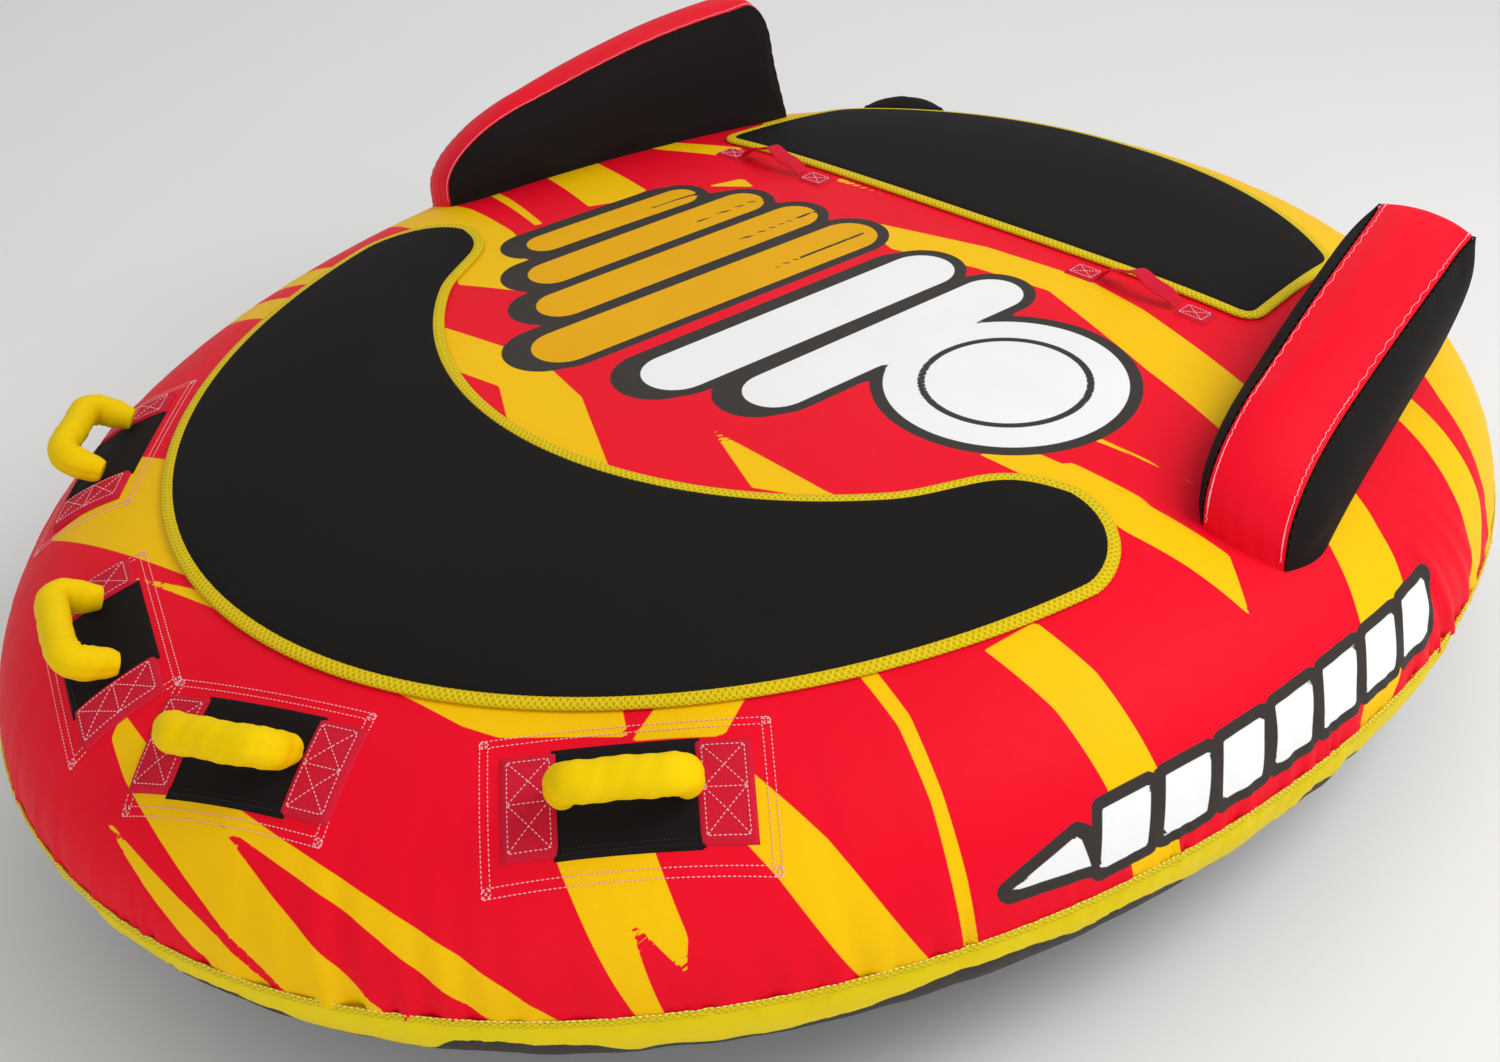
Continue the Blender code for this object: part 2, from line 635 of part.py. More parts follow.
def wing_slab(name, place, path, near, far, mat=None):
    """A closed slab under the wing's outline between two shares of the wing's thickness."""
    rings = []
    for a, h in path[1:-1]:
        heights = (h, (h - WING_SINK) / 2, -WING_SINK)
        near_side = [place(a, up, near) for up in heights]
        rings.append(near_side + [place(a, up, far) for up in reversed(heights)])
    return capped_sweep(name, rings, mat, 30)


def wing_ribbon(name, place, outer, inner, near, far, mat):
    """The gusset: a strip between two outlines, open at the foot."""
    rings = [[place(*o, near), place(*o, far), place(*i, far), place(*i, near)]
             for o, i in zip(outer, inner)]
    verts, faces = skin_rings(rings)
    faces += [(3, 2, 1, 0), tuple(range(len(verts) - 4, len(verts)))]
    return make_object(name, verts, faces, mat, 30)


def wing_valve_frame(side):
    """Frame at the middle of the gusset's rear end, Z pointing out of it."""
    place, length = wing_map(side)
    rear = place(length, WING_VALVE_UP, 0.5)
    out = (rear - place(0.0, WING_VALVE_UP, 0.5)).normalized()
    across = place(length, WING_VALVE_UP, 1.0) - place(length, WING_VALVE_UP, 0.0)
    across = (across - out * across.dot(out)).normalized()
    frame = Matrix((across, out.cross(across), out)).transposed().to_4x4()
    frame.translation = place(length - WING_VALVE_SET_BACK, WING_VALVE_UP, 0.5)
    return frame


def build_wing(label, side, mats, trims):
    place, length = wing_map(side)
    frame = wing_valve_frame(side)
    skin = WING_PANEL_THICK / WING_REAR_THICK
    gap = 3 * FIT / WING_FRONT_THICK
    outline = wing_outline(length, 0.0)
    hole = hole_cutter(f"cut_{label}_wing_hole", WING_VALVE_RADIUS + FIT, frame, 16)
    for name, near, far in (("inner", 0.0, skin), ("outer", 1.0 - skin, 1.0)):
        panel = wing_slab(f"{label}_wing_{name}_panel", place, outline, near, far, mats["neoprene"])
        boolean(panel, trims["snug"], "DIFFERENCE")
    inside = wing_outline(length, WING_GUSSET_THICK)
    near, far = skin + gap, 1.0 - skin - gap
    gusset = wing_ribbon(f"{label}_wing_gusset", place, outline, inside, near, far, mats["red_nylon"])
    boolean(gusset, trims["snug"], "DIFFERENCE")
    boolean(gusset, hole, "DIFFERENCE")
    air_gap = WING_GUSSET_THICK + WING_BLADDER_GAP
    near, far = near + gap, far - gap
    outline = wing_outline(length, air_gap)
    bladder = wing_slab(f"{label}_wing_bladder", place, outline, near, far, mats["pvc"])
    boolean(bladder, trims["loose"], "DIFFERENCE")
    film = WING_FILM_THICK / WING_FRONT_THICK
    inside = wing_outline(length, air_gap + WING_FILM_THICK)
    air = wing_slab(f"cut_{label}_wing_air", place, inside, near + film, far - film)
    boolean(air, trims["air"], "DIFFERENCE")
    boolean(bladder, as_cutter(air), "DIFFERENCE")
    boolean(bladder, hole, "DIFFERENCE")
    build_wing_valve(label, frame, mats)


def build_wing_valve(label, frame, mats):
    low, high = WING_VALVE_LIP, WING_VALVE_LIP + WING_VALVE_RIM
    body = [(WING_VALVE_BORE, -WING_VALVE_DEPTH), (WING_VALVE_RADIUS, -WING_VALVE_DEPTH),
            (WING_VALVE_RADIUS, low), (WING_VALVE_FLANGE, low),
            (WING_VALVE_FLANGE, high), (WING_VALVE_BORE, high)]
    turned(f"{label}_wing_valve", body, frame, mats["valve_plastic"])
    stem, seat = WING_VALVE_BORE - FIT, high + FIT
    plug = [(stem, -WING_PLUG_STEM), (stem, seat),
            (WING_PLUG_RADIUS, seat), (WING_PLUG_RADIUS, seat + WING_VALVE_RIM)]
    plug_shape(f"{label}_wing_valve_plug", plug, frame, mats["valve_plastic"])


# ---- handles ----------------------------------------------------------------------------------------
def grip_path(frame, reach):
    """Middle line of a grip: up from one foot, round a bend, across and down to the other."""
    rise = GRIP_STAND_OFF - GRIP_AXIS_HEIGHT
    corners = [(-GRIP_HALF_SPAN, GRIP_AXIS_HEIGHT)]
    for k in range(5):
        angle = math.pi - math.pi / 2 * k / 4
        corners.append((-GRIP_HALF_SPAN + GRIP_BEND + GRIP_BEND * math.cos(angle),
                        GRIP_AXIS_HEIGHT + rise - GRIP_BEND + GRIP_BEND * math.sin(angle)))
    corners = corners + [(-x, z) for x, z in reversed(corners)]
    path = [frame @ Vector((x, 0, z)) for x, z in corners]
    path[0] += (path[0] - path[1]).normalized() * reach
    path[-1] += (path[-1] - path[-2]).normalized() * reach
    return path


def leaned_frame(label, frame):
    """The frame turned about the grip's hinge line, since each grip has flopped down the slope."""
    hinge = Matrix.Translation((0, 0, GRIP_AXIS_HEIGHT))
    return frame @ hinge @ Matrix.Rotation(math.radians(GRIP_LEANS[label]), 4, "X") @ hinge.inverted()


def build_handle(label, frame, mats):
    low = -COVER_THICK - FIT - PATCH_THICK
    backing = top_sheet(f"{label}_backing_patch", low, low + PATCH_THICK, mats["black_webbing"])
    boolean(backing, prism(f"cut_{label}_patch", rectangle(*PATCH_SIZE), frame, PATCH_REACH), "INTERSECT")
    foot = rectangle(ANCHOR_SPACING - ANCHOR_WIDTH - 2 * FIT, GUARD_LENGTH)
    guard = top_sheet(f"{label}_knuckle_guard", FIT, WEBBING_THICK, mats["neoprene"])
    boolean(guard, prism(f"cut_{label}_guard", foot, frame, PATCH_REACH), "INTERSECT")
    for end, sign in (("near", -1), ("far", 1)):
        tape = top_sheet(f"{label}_anchor_{end}", FIT, ANCHOR_THICK, mats["red_webbing"])
        foot = rectangle(ANCHOR_WIDTH, ANCHOR_LENGTH, centre=(sign * ANCHOR_SPACING / 2, 0))
        boolean(tape, prism(f"cut_{label}_anchor_{end}", foot, frame, PATCH_REACH), "INTERSECT")
    leaned = leaned_frame(label, frame)
    side_axis = leaned.to_3x3() @ Vector((0, 1, 0))
    path = grip_path(leaned, GRIP_FOOT_REACH)
    sides = 10
    spokes = [2 * math.pi * j / sides for j in range(sides)]

    def sleeve(k):
        radius = GRIP_RADIUS * (GRIP_FOOT_SHARE if k in (0, len(path) - 1) else 1.0)
        return [(radius * math.cos(a), radius * math.sin(a)) for a in spokes]

    def bore(k):
        return [(GRIP_BORE * math.cos(a), GRIP_BORE * math.sin(a)) for a in spokes]

    outside, inside = swept(path, sleeve, side_axis), swept(path, bore, side_axis)
    verts, faces = skin_rings(outside + list(reversed(inside)), closed_loop=True)
    make_object(f"{label}_grip", verts, faces, mats["yellow_nylon"], 40)
    core = swept(grip_path(leaned, GRIP_CORE_REACH), flat_section(GRIP_CORE_WIDTH, WEBBING_THICK), side_axis)
    capped_sweep(f"{label}_grip_webbing", core, mats["red_webbing"])


def handle_frames():
    frames = {}
    for label, (x, ring, heading) in HANDLE_SPOTS.items():
        y = plan_y(x, ring, False)
        frames[f"right_{label}"] = surface_frame(x, y, math.radians(heading))
        frames[f"left_{label}"] = surface_frame(-x, y, math.radians(-heading))
    return frames


# ---- deck straps ------------------------------------------------------------------------------------
def build_strap(label, side, mats):
    for end, x in zip(("inner", "outer"), STRAP_X):
        tab = top_sheet(f"{label}_strap_{end}_tab", FIT, WEBBING_THICK, mats["red_webbing"])
        place = rectangle(*STRAP_TAB, centre=(side * x, STRAP_Y))
        boolean(tab, prism(f"cut_{label}_{end}_tab", place, PLAN, TOP_REACH), "INTERSECT")
    middle, reach = sum(STRAP_X) / 2, (STRAP_X[1] - STRAP_X[0]) / 2 - STRAP_TAB[0] / 2
    deck = top_point(side * middle, STRAP_Y)[0].z
    path = []
    for k in range(13):
        share = -1 + 2 * k / 12
        rise = STRAP_LOOP_LOW + (STRAP_LOOP_HIGH - STRAP_LOOP_LOW) * math.cos(share * math.pi / 2)
        path.append(Vector((side * middle + share * reach, STRAP_Y, deck + rise)))
    rings = swept(path, flat_section(STRAP_LOOP_WIDTH, STRAP_LOOP_THICK), Vector((0, 1, 0)))
    capped_sweep(f"{label}_strap_loop", rings, mats["red_webbing"])


# ---- inflation valve --------------------------------------------------------------------------------
def valve_frame():
    return surface_frame(VALVE_X, plan_y(VALVE_X, VALVE_RING, True), VALVE_HEADING)


def build_valve(frame, mats):
    top = VALVE_SEAT + VALVE_RIM
    body = [(VALVE_BORE, -VALVE_DEPTH), (VALVE_BARREL, -VALVE_DEPTH), (VALVE_BARREL, VALVE_SEAT),
            (VALVE_FLANGE, VALVE_SEAT), (VALVE_FLANGE, top), (VALVE_BORE, top)]
    turned("valve_body", body, frame, mats["valve_plastic"], 24)
    stem, low = VALVE_BORE - FIT, top + FIT
    cap = [(stem, -CAP_STEM), (stem, low), (CAP_RADIUS, low), (CAP_RADIUS, low + CAP_THICK)]
    plug_shape("valve_cap", cap, frame, mats["valve_plastic"], 24)


def build_flap(frame, mats, trim):
    """A shallow neoprene dome over the valve, trimmed to the skin under its rim."""
    sides = 20

    def dome(shrink):
        rings = []
        for angle in FLAP_ANGLES:
            tilt = math.radians(angle)
            spread = math.cos(max(tilt, 0.0))
            rings.append([frame @ Vector(((FLAP_SIZE[0] - shrink) * spread * math.cos(turn),
                                          (FLAP_SIZE[1] - shrink) * spread * math.sin(turn),
                                          (FLAP_HEIGHT - shrink) * math.sin(tilt)))
                          for turn in (2 * math.pi * j / sides for j in range(sides))])
        return rings

    outer, inner = dome(0.0), dome(FLAP_THICK)
    verts, faces = skin_rings(list(reversed(inner)) + outer)
    verts.append(frame @ Vector((0, 0, FLAP_HEIGHT - FLAP_THICK)))
    cone_end(faces, 0, sides, len(verts) - 1, True)
    verts.append(frame @ Vector((0, 0, FLAP_HEIGHT)))
    cone_end(faces, (2 * len(FLAP_ANGLES) - 1) * sides, sides, len(verts) - 1, False)
    flap = make_object("valve_cover_flap", verts, faces, mats["neoprene"], 40)
    boolean(flap, trim, "DIFFERENCE")


# ---- tow gear, zip and drains -----------------------------------------------------------------------
def tow_ring_frame():
    """Frame on the underside at the ring's middle: its rear point hangs in the webbing's end loop."""
    return surface_frame(0.0, TOW_STRAP_REACH[1] - TOW_RING_RADIUS, 0.0, base_point)


def build_tow_gear(mats):
    start, stop = TOW_STRAP_REACH
    frame = tow_ring_frame()
    harness = base_sheet("tow_harness", FIT, WEBBING_THICK, mats["black_webbing"])
    reach = stop - TOW_LOOP_SIZE[1] / 2
    strip = rectangle(TOW_STRAP_WIDTH, start - reach, centre=(0, (start + reach) / 2))
    boolean(harness, prism("cut_tow_strap", strip, PLAN, BASE_REACH), "INTERSECT")
    eye = frame @ Matrix.Translation((0, -TOW_RING_RADIUS, 0))
    foot = rectangle(*TOW_LOOP_SIZE)
    loop = prism("cut_tow_loop", foot, eye, (2 * FIT, TOW_RING_CLEARANCE + TOW_LOOP_EYE + WEBBING_THICK))
    boolean(harness, loop, "UNION")
    cross = eye @ Matrix.Translation((0, 0, TOW_RING_CLEARANCE)) @ Matrix.Rotation(math.pi / 2, 4, "Y")
    boolean(harness, hole_cutter("cut_tow_eye", TOW_LOOP_EYE, cross, 12), "DIFFERENCE")
    sides, wire = 20, 6
    rings = []
    for k in range(sides):
        turn = 2 * math.pi * k / sides
        centre = Vector((math.cos(turn), math.sin(turn), 0)) * TOW_RING_RADIUS
        ring = []
        for j in range(wire):
            angle = 2 * math.pi * j / wire
            lift = Vector((0, 0, TOW_RING_CLEARANCE + TOW_RING_WIRE * math.sin(angle)))
            ring.append(frame @ (centre + centre.normalized() * TOW_RING_WIRE * math.cos(angle) + lift))
        rings.append(ring)
    verts, faces = skin_rings(rings, closed_loop=True)
    make_object("tow_ring", verts, faces, mats["steel"], 50)


def build_zip(mats):
    y = plan_y(0.0, ZIP_RING, True)
    tape = base_sheet("zip_tape", FIT, ZIP_TAPE_THICK, mats["black_webbing"])
    strip = rectangle(2 * ZIP_HALF_LENGTH, ZIP_WIDTH, centre=(0, y))
    boolean(tape, prism("cut_zip_tape", strip, PLAN, BASE_REACH), "INTERSECT")
    x = ZIP_HALF_LENGTH - ZIP_SLIDER[0]
    frame = surface_frame(x, y, 0.0, base_point)
    low = ZIP_TAPE_THICK + ZIP_SLIDER_GAP
    half_x, half_y = ZIP_SLIDER[0] / 2, ZIP_SLIDER[1] / 2
    verts = [frame @ Vector((a * half_x * taper, b * half_y * taper, z))
             for z, taper in ((low, 1.0), (low + ZIP_SLIDER[2], ZIP_SLIDER_TAPER))
             for a, b in ((-1, -1), (1, -1), (1, 1), (-1, 1))]
    faces = [(3, 2, 1, 0), (4, 5, 6, 7)] + [(k, (k + 1) % 4, (k + 1) % 4 + 4, k + 4) for k in range(4)]
    make_object("zip_slider", verts, faces, mats["steel"])


def drain_frames():
    """Frames of the drains, one each side, on the underside."""
    frames = {}
    for label, turn in (("right", 0.0), ("left", math.pi)):
        x, y = outline_point(turn, DRAIN_RING)
        frames[label] = surface_frame(x, y, 0.0, base_point)
    return frames


def build_drains(mats):
    bore = DRAIN_HOLE - DRAIN_WALL
    profile = [(bore, -DRAIN_DEPTH), (DRAIN_HOLE, -DRAIN_DEPTH), (DRAIN_HOLE, DRAIN_LIP),
               (DRAIN_FLANGE, DRAIN_LIP), (DRAIN_FLANGE, DRAIN_LIP + DRAIN_RIM), (bore, DRAIN_LIP + DRAIN_RIM)]
    for label, frame in drain_frames().items():
        turned(f"{label}_drain_grommet", profile, frame, mats["steel"], 16)


# ---- assembly ---------------------------------------------------------------------------------------
def main():
    for obj in list(bpy.data.objects):
        bpy.data.objects.remove(obj, do_unlink=True)
    mats = make_materials()
    valve = valve_frame()
    trims = {name: as_cutter(body_solid(f"cut_body_{name}", lift)) for name, lift in WING_TRIMS.items()}
    build_covers(mats, valve)
    build_pad("front_pad", front_pad_outline(), mats)
    build_pad("rear_pad", rear_pad_outline(), mats)
    for label, side in (("right", 1), ("left", -1)):
        build_wing(label, side, mats, trims)
        build_strap(label, side, mats)
    for label, frame in handle_frames().items():
        build_handle(label, frame, mats)
    build_valve(valve, mats)
    build_flap(valve, mats, trims["snug"])
    build_tow_gear(mats)
    build_zip(mats)
    build_drains(mats)


main()
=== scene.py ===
"""Looks of a two-rider towable deck tube: printed covers, padded deck, side wings, grips and stitching."""

import json
import math

import bpy
import numpy as np
from mathutils import Matrix, Vector
from mathutils.bvhtree import BVHTree


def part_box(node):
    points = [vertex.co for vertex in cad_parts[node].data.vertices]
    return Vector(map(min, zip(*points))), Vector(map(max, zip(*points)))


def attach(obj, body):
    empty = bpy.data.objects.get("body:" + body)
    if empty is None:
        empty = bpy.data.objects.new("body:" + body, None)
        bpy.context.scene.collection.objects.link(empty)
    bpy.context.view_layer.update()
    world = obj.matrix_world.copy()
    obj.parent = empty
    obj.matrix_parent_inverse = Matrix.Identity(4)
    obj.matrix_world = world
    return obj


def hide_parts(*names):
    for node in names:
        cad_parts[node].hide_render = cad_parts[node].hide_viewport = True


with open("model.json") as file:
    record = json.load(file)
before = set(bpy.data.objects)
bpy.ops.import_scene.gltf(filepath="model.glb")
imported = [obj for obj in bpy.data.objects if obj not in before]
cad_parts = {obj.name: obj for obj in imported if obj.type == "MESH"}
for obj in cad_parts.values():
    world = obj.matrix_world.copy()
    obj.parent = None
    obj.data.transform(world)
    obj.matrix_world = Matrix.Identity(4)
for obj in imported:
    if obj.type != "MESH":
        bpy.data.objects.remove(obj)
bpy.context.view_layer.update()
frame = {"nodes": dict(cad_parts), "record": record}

bl_info = {
    "name": "Towable Deck Tube",
    "version": (1, 0, 0),
    "blender": (4, 5, 0),
    "location": "View3D > Sidebar > Deck Tube",
    "description": "Builds the covers, pads, wings, grips and stitching of a towable deck tube",
    "category": "Add Mesh",
}


# ---- colours ----------------------------------------------------------------------------------------
def srgb(code):
    """Linear colour of a six-digit sRGB code."""
    channels = [int(code[k:k + 2], 16) / 255 for k in (0, 2, 4)]
    return tuple(c / 12.92 if c <= 0.04045 else ((c + 0.055) / 1.055) ** 2.4 for c in channels)


def unit(vectors):
    """The same vectors at length 1."""
    return vectors / np.linalg.norm(vectors, axis=-1, keepdims=True)


def path_steps(path):
    """Distance along a path at each of its points."""
    return np.concatenate([[0], np.cumsum(np.linalg.norm(np.diff(path, axis=0), axis=1))])


def path_length(path):
    return np.linalg.norm(np.diff(path, axis=0), axis=1).sum()


def joined_up(path):
    """A closed path with its first point again at the end."""
    return np.concatenate([path, path[:1]])


def nearest_row(share, rows):
    """Which of the rows 0 to rows each share of the way from 0 to 1 stands for."""
    return np.rint(share * rows).astype(int)


def squared(wave, power):
    """A sine or cosine with its shoulders filled out, for sections between round and square."""
    return np.sign(wave) * np.abs(wave) ** power


def length_property(text, value):
    return bpy.props.FloatProperty(name=text, description=text, default=value, unit="LENGTH", precision=4)


def colour_property(text, code):
    return bpy.props.FloatVectorProperty(name=text, description=text, default=srgb(code), subtype="COLOR",
                                         size=3, min=0, max=1)


def share_property(text, value):
    return bpy.props.FloatProperty(name=text, description=text, default=value)


class DeckTubeSizes(bpy.types.PropertyGroup):
    widest_along: length_property("Widest station ahead of the middle", 0.09)
    front_fullness: share_property("Outline exponent of the front half", 2.03)
    rear_fullness: share_property("Outline exponent of the rear half", 2.13)
    deck_fullness: share_property("How flat the deck stays before it rolls over", 5.2)
    flat_base: share_property("Share of the outline that lies flat", 0.40)
    pucker_depth: length_property("Depth of the gathers beside the seam", 0.0019)
    yellow_band: length_property("Yellow band of the lower cover", 0.047)
    pad_thickness: length_property("Thickness of the deck pads", 0.0055)
    tape_width: length_property("Width of the pads' binding tape", 0.0150)
    tape_thickness: length_property("Thickness of the pads' binding tape", 0.0055)
    wing_swell: length_property("How far air pushes a wing's outer face out", 0.024)
    grip_radius: length_property("Radius of a grip's padding", 0.0168)
    stitch_pitch: length_property("Length of one stitch", 0.0042)


class DeckTubeColours(bpy.types.PropertyGroup):
    red: colour_property("Red cover cloth", "EA0A26")
    yellow: colour_property("Yellow cover cloth", "F4C004")
    gold: colour_property("Gold print", "E6A802")
    dark: colour_property("Dark print", "3A3532")
    white: colour_property("White print", "EDEDED")
    band: colour_property("Yellow of the lower band", "EAD006")
    neoprene: colour_property("Black neoprene", "191515")
    tape: colour_property("Binding tape", "E6C804")
    webbing: colour_property("Red webbing", "DC1434")
    thread: colour_property("Pale thread", "F4B4BC")
    grip: colour_property("Yellow grip sleeve", "F0CA00")


# ---- shader building --------------------------------------------------------------------------------
class Value:
    """A shader socket that takes part in arithmetic: each operation adds one Math node."""

    def __init__(self, shader, socket):
        self.shader = shader
        self.socket = socket

    def __add__(self, other):
        return self.shader.math("ADD", self, other)

    def __sub__(self, other):
        return self.shader.math("SUBTRACT", self, other)

    def __mul__(self, other):
        return self.shader.math("MULTIPLY", self, other)

    __radd__ = __add__
    __rmul__ = __mul__


class Shader:
    """A material's node tree round one Principled shader."""

    def __init__(self, name, **constants):
        self.material = bpy.data.materials.new(name)
        self.material.use_nodes = True
        self.tree = self.material.node_tree
        self.surface = self.tree.nodes["Principled BSDF"]
        for socket, value in constants.items():
            self.surface.inputs[socket.replace("_", " ")].default_value = value

    def feed(self, socket, value):
        if isinstance(value, Value):
            self.tree.links.new(value.socket, socket)
        elif isinstance(value, tuple) and len(value) == 3 and len(socket.default_value) == 4:
            socket.default_value = (*value, 1.0)
        else:
            socket.default_value = value

    def node(self, kind, settings=None, inputs=None, output=0):
        made = self.tree.nodes.new(kind)
        for name, value in (settings or {}).items():
            setattr(made, name, value)
        for name, value in (inputs or {}).items():
            self.feed(made.inputs[name], value)
        return Value(self, made.outputs[output])

    def math(self, operation, *values):
        settings = {"operation": operation}
        return self.node("ShaderNodeMath", settings, dict(enumerate(values)))

    def sine(self, value):
        return self.math("SINE", value)

    def mix(self, factor, first, second):
        """Colour that goes from first to second."""
        return self.node("ShaderNodeMix", {"data_type": "RGBA"}, {0: factor, 6: first, 7: second}, 2)

    def attribute(self, name):
        return self.node("ShaderNodeAttribute", {"attribute_name": name}, output=2)

    def place(self):
        """Object coordinates."""
        return self.node("ShaderNodeTexCoord", output=3)

    def flat(self):
        """The piece's own UV map."""
        return self.node("ShaderNodeTexCoord", output=2)

    def axis(self, vector, name):
        return self.node("ShaderNodeSeparateXYZ", inputs={0: vector}, output="XYZ".index(name))

    def noise(self, vector, scale, detail=3.0):
        inputs = {"Vector": vector, "Scale": scale, "Detail": detail}
        return self.node("ShaderNodeTexNoise", inputs=inputs)

    def ramp(self, value, low, high):
        """0 below low, 1 above high and smooth between."""
        return self.node("ShaderNodeMapRange", {"interpolation_type": "SMOOTHSTEP"},
                         {"Value": value, "From Min": low, "From Max": high})

    def bump(self, height, depth, strength=1.0):
        inputs = {"Height": height, "Distance": depth, "Strength": strength}
        return self.node("ShaderNodeBump", inputs=inputs)

    def done(self, **links):
        for socket, value in links.items():
            self.feed(self.surface.inputs[socket.replace("_", " ")], value)
        return self.material


def weave(shader, vector, pitch):
    """Height of a plain weave: threads that cross over and under."""
    turns = 2 * math.pi / pitch
    across = shader.sine(shader.axis(vector, "X") * turns)
    along = shader.sine(shader.axis(vector, "Y") * turns)
    return across * along


# ---- the body's surface -----------------------------------------------------------------------------
class Hull:
    """The inflated body: its outline and its upper and lower skins, sized from the frame."""

    def __init__(self, sizes):
        low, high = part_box("bottom_cover")
        self.half_width = high[0]
        self.middle = sizes.widest_along
        self.reach = (high[1] - self.middle, self.middle - low[1])
        self.edge = high[2]
        self.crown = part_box("top_cover")[1][2] - self.edge
        self.fullness = (sizes.rear_fullness, sizes.front_fullness)
        self.deck_fullness = sizes.deck_fullness
        self.flat_base = sizes.flat_base
        rings = 1 - (1 - np.linspace(0, 1, 3001)) ** 3
        heights = self.crown * np.sqrt(1 - rings ** self.deck_fullness)
        self.mean_radius = 0.85
        steps = np.hypot(self.mean_radius * np.diff(rings), np.diff(heights))
        self.ring_table = rings
        self.arc_table = np.concatenate([[0], np.cumsum(steps)])

    def side(self, along):
        """Reach and outline exponent of the half that a distance behind the widest station is in."""
        rear = along >= 0
        return np.where(rear, *self.reach), np.where(rear, *self.fullness)

    def plan_radius(self, turn):
        """Distance from the middle to the outline in a direction."""
        cos, sin = np.cos(turn), np.sin(turn)
        reach, fullness = self.side(sin)
        return (np.abs(cos / self.half_width) ** fullness + np.abs(sin / reach) ** fullness) ** (-1 / fullness)

    def ring(self, x, y):
        """Where a plan place lies between the middle (0) and the outline (1)."""
        along = y - self.middle
        reach, fullness = self.side(along)
        return (np.abs(x / self.half_width) ** fullness + np.abs(along / reach) ** fullness) ** (1 / fullness)

    def plan(self, turn, ring):
        radius = self.plan_radius(turn) * ring
        return radius * np.cos(turn), self.middle + radius * np.sin(turn)

    def ring_at_arc(self, share):
        """The ring at a share of the way from the deck's middle to the seam, measured along the cloth."""
        return np.interp(share * self.arc_table[-1], self.arc_table, self.ring_table)

    def cloth(self, x, y):
        """Plan place stretched out to its distance along the cloth from the deck's middle."""
        ring = np.clip(self.ring(x, y), 1e-9, 1)
        extra = np.interp(ring, self.ring_table, self.arc_table) - self.mean_radius * ring
        distance = np.hypot(x, y - self.middle)
        scale = 1 + extra / np.maximum(distance, 1e-9)
        return x * scale, (y - self.middle) * scale

    def slope(self, x, y):
        """The ring at plan places, and how fast it grows across and along."""
        along = y - self.middle
        reach, fullness = self.side(along)
        ring = np.maximum(self.ring(x, y), 1e-9)
        scale = ring ** (1 - fullness)
        across = scale * (np.abs(x) / self.half_width) ** (fullness - 1) / self.half_width * np.sign(x)
        ahead = scale * (np.abs(along) / reach) ** (fullness - 1) / reach * np.sign(along)
        return ring, across, ahead

    def top(self, x, y, lift=0.0):
        """Points and normals on the upper skin above plan places."""
        ring, across, ahead = self.slope(x, y)
        ring = np.minimum(ring, 1.0)
        rise = self.crown * np.sqrt(1 - ring ** self.deck_fullness)
        steep = self.deck_fullness * ring ** (self.deck_fullness - 1)
        normal = unit(np.stack([steep * across, steep * ahead, 2 * rise / self.crown ** 2], -1))
        return np.stack([x, y, self.edge + rise], -1) + normal * np.asarray(lift)[..., None], normal

    def base(self, x, y, lift=0.0):
        """Points and normals on the lower skin below plan places."""
        ring, across, ahead = self.slope(x, y)
        share = np.clip((ring - self.flat_base) / (1 - self.flat_base), 0, 1)
        drop = self.edge * np.sqrt(1 - share ** 2)
        steep = 2 * share / (1 - self.flat_base)
        normal = unit(np.stack([steep * across, steep * ahead, -2 * drop / self.edge ** 2], -1))
        return np.stack([x, y, self.edge - drop], -1) + normal * np.asarray(lift)[..., None], normal

    def seam_distance(self, x, y):
        """Distance along the upper cloth to the seam line."""
        ring = np.clip(self.ring(x, y), 0, 1)
        return self.arc_table[-1] - np.interp(ring, self.ring_table, self.arc_table)


# ---- mesh building ----------------------------------------------------------------------------------
def deselect_all():
    for obj in bpy.context.selected_objects:
        obj.select_set(False)


def only(obj):
    deselect_all()
    obj.select_set(True)
    bpy.context.view_layer.objects.active = obj
    return obj


def points_of(obj):
    places = np.empty(len(obj.data.vertices) * 3)
    obj.data.vertices.foreach_get("co", places)
    return places.reshape(-1, 3)


def move_points(obj, places):
    obj.data.vertices.foreach_set("co", np.asarray(places, float).ravel())
    obj.data.update()


def paint(obj, name, values):
    """Stores one number at each vertex for the material to read."""
    layer = obj.data.attributes.new(name, "FLOAT", "POINT")
    layer.data.foreach_set("value", np.asarray(values, np.float32))


def sheet(name, columns, rows, shape):
    """A grid primitive laid over shape(u, v), where u and v run from 0 to 1 over the cloth."""
    deselect_all()
    bpy.ops.mesh.primitive_grid_add(x_subdivisions=columns, y_subdivisions=rows, size=2)
    obj = bpy.context.object
    obj.name = obj.data.name = name
    flat = points_of(obj)
    move_points(obj, shape((flat[:, 0] + 1) / 2, (flat[:, 1] + 1) / 2))
    return obj


def close_up(obj, reach=1e-6):
    """Merges points that meet and turns all faces outwards."""
    only(obj)
    bpy.ops.object.mode_set(mode="EDIT")
    bpy.ops.mesh.select_all(action="SELECT")
    bpy.ops.mesh.remove_doubles(threshold=reach)
    bpy.ops.mesh.dissolve_degenerate(threshold=reach)
    bpy.ops.mesh.normals_make_consistent(inside=False)
    bpy.ops.object.mode_set(mode="OBJECT")
    return obj


def apply_modifier(obj, name):
    only(obj)
    bpy.ops.object.modifier_apply(modifier=name)


def smooth(obj, angle):
    only(obj)
    bpy.ops.object.shade_smooth_by_angle(angle=math.radians(angle))
    return obj


def finish_piece(obj, body, material, nodes=()):
    if not obj.data.materials:
        obj.data.materials.append(material)
    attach(obj, body)
    if nodes:
        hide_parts(*nodes)
    return obj


def finish_node(name, material):
    """A node that keeps its own shape takes a finish."""
    materials = frame["nodes"][name].data.materials
    materials.clear()
    materials.append(material)


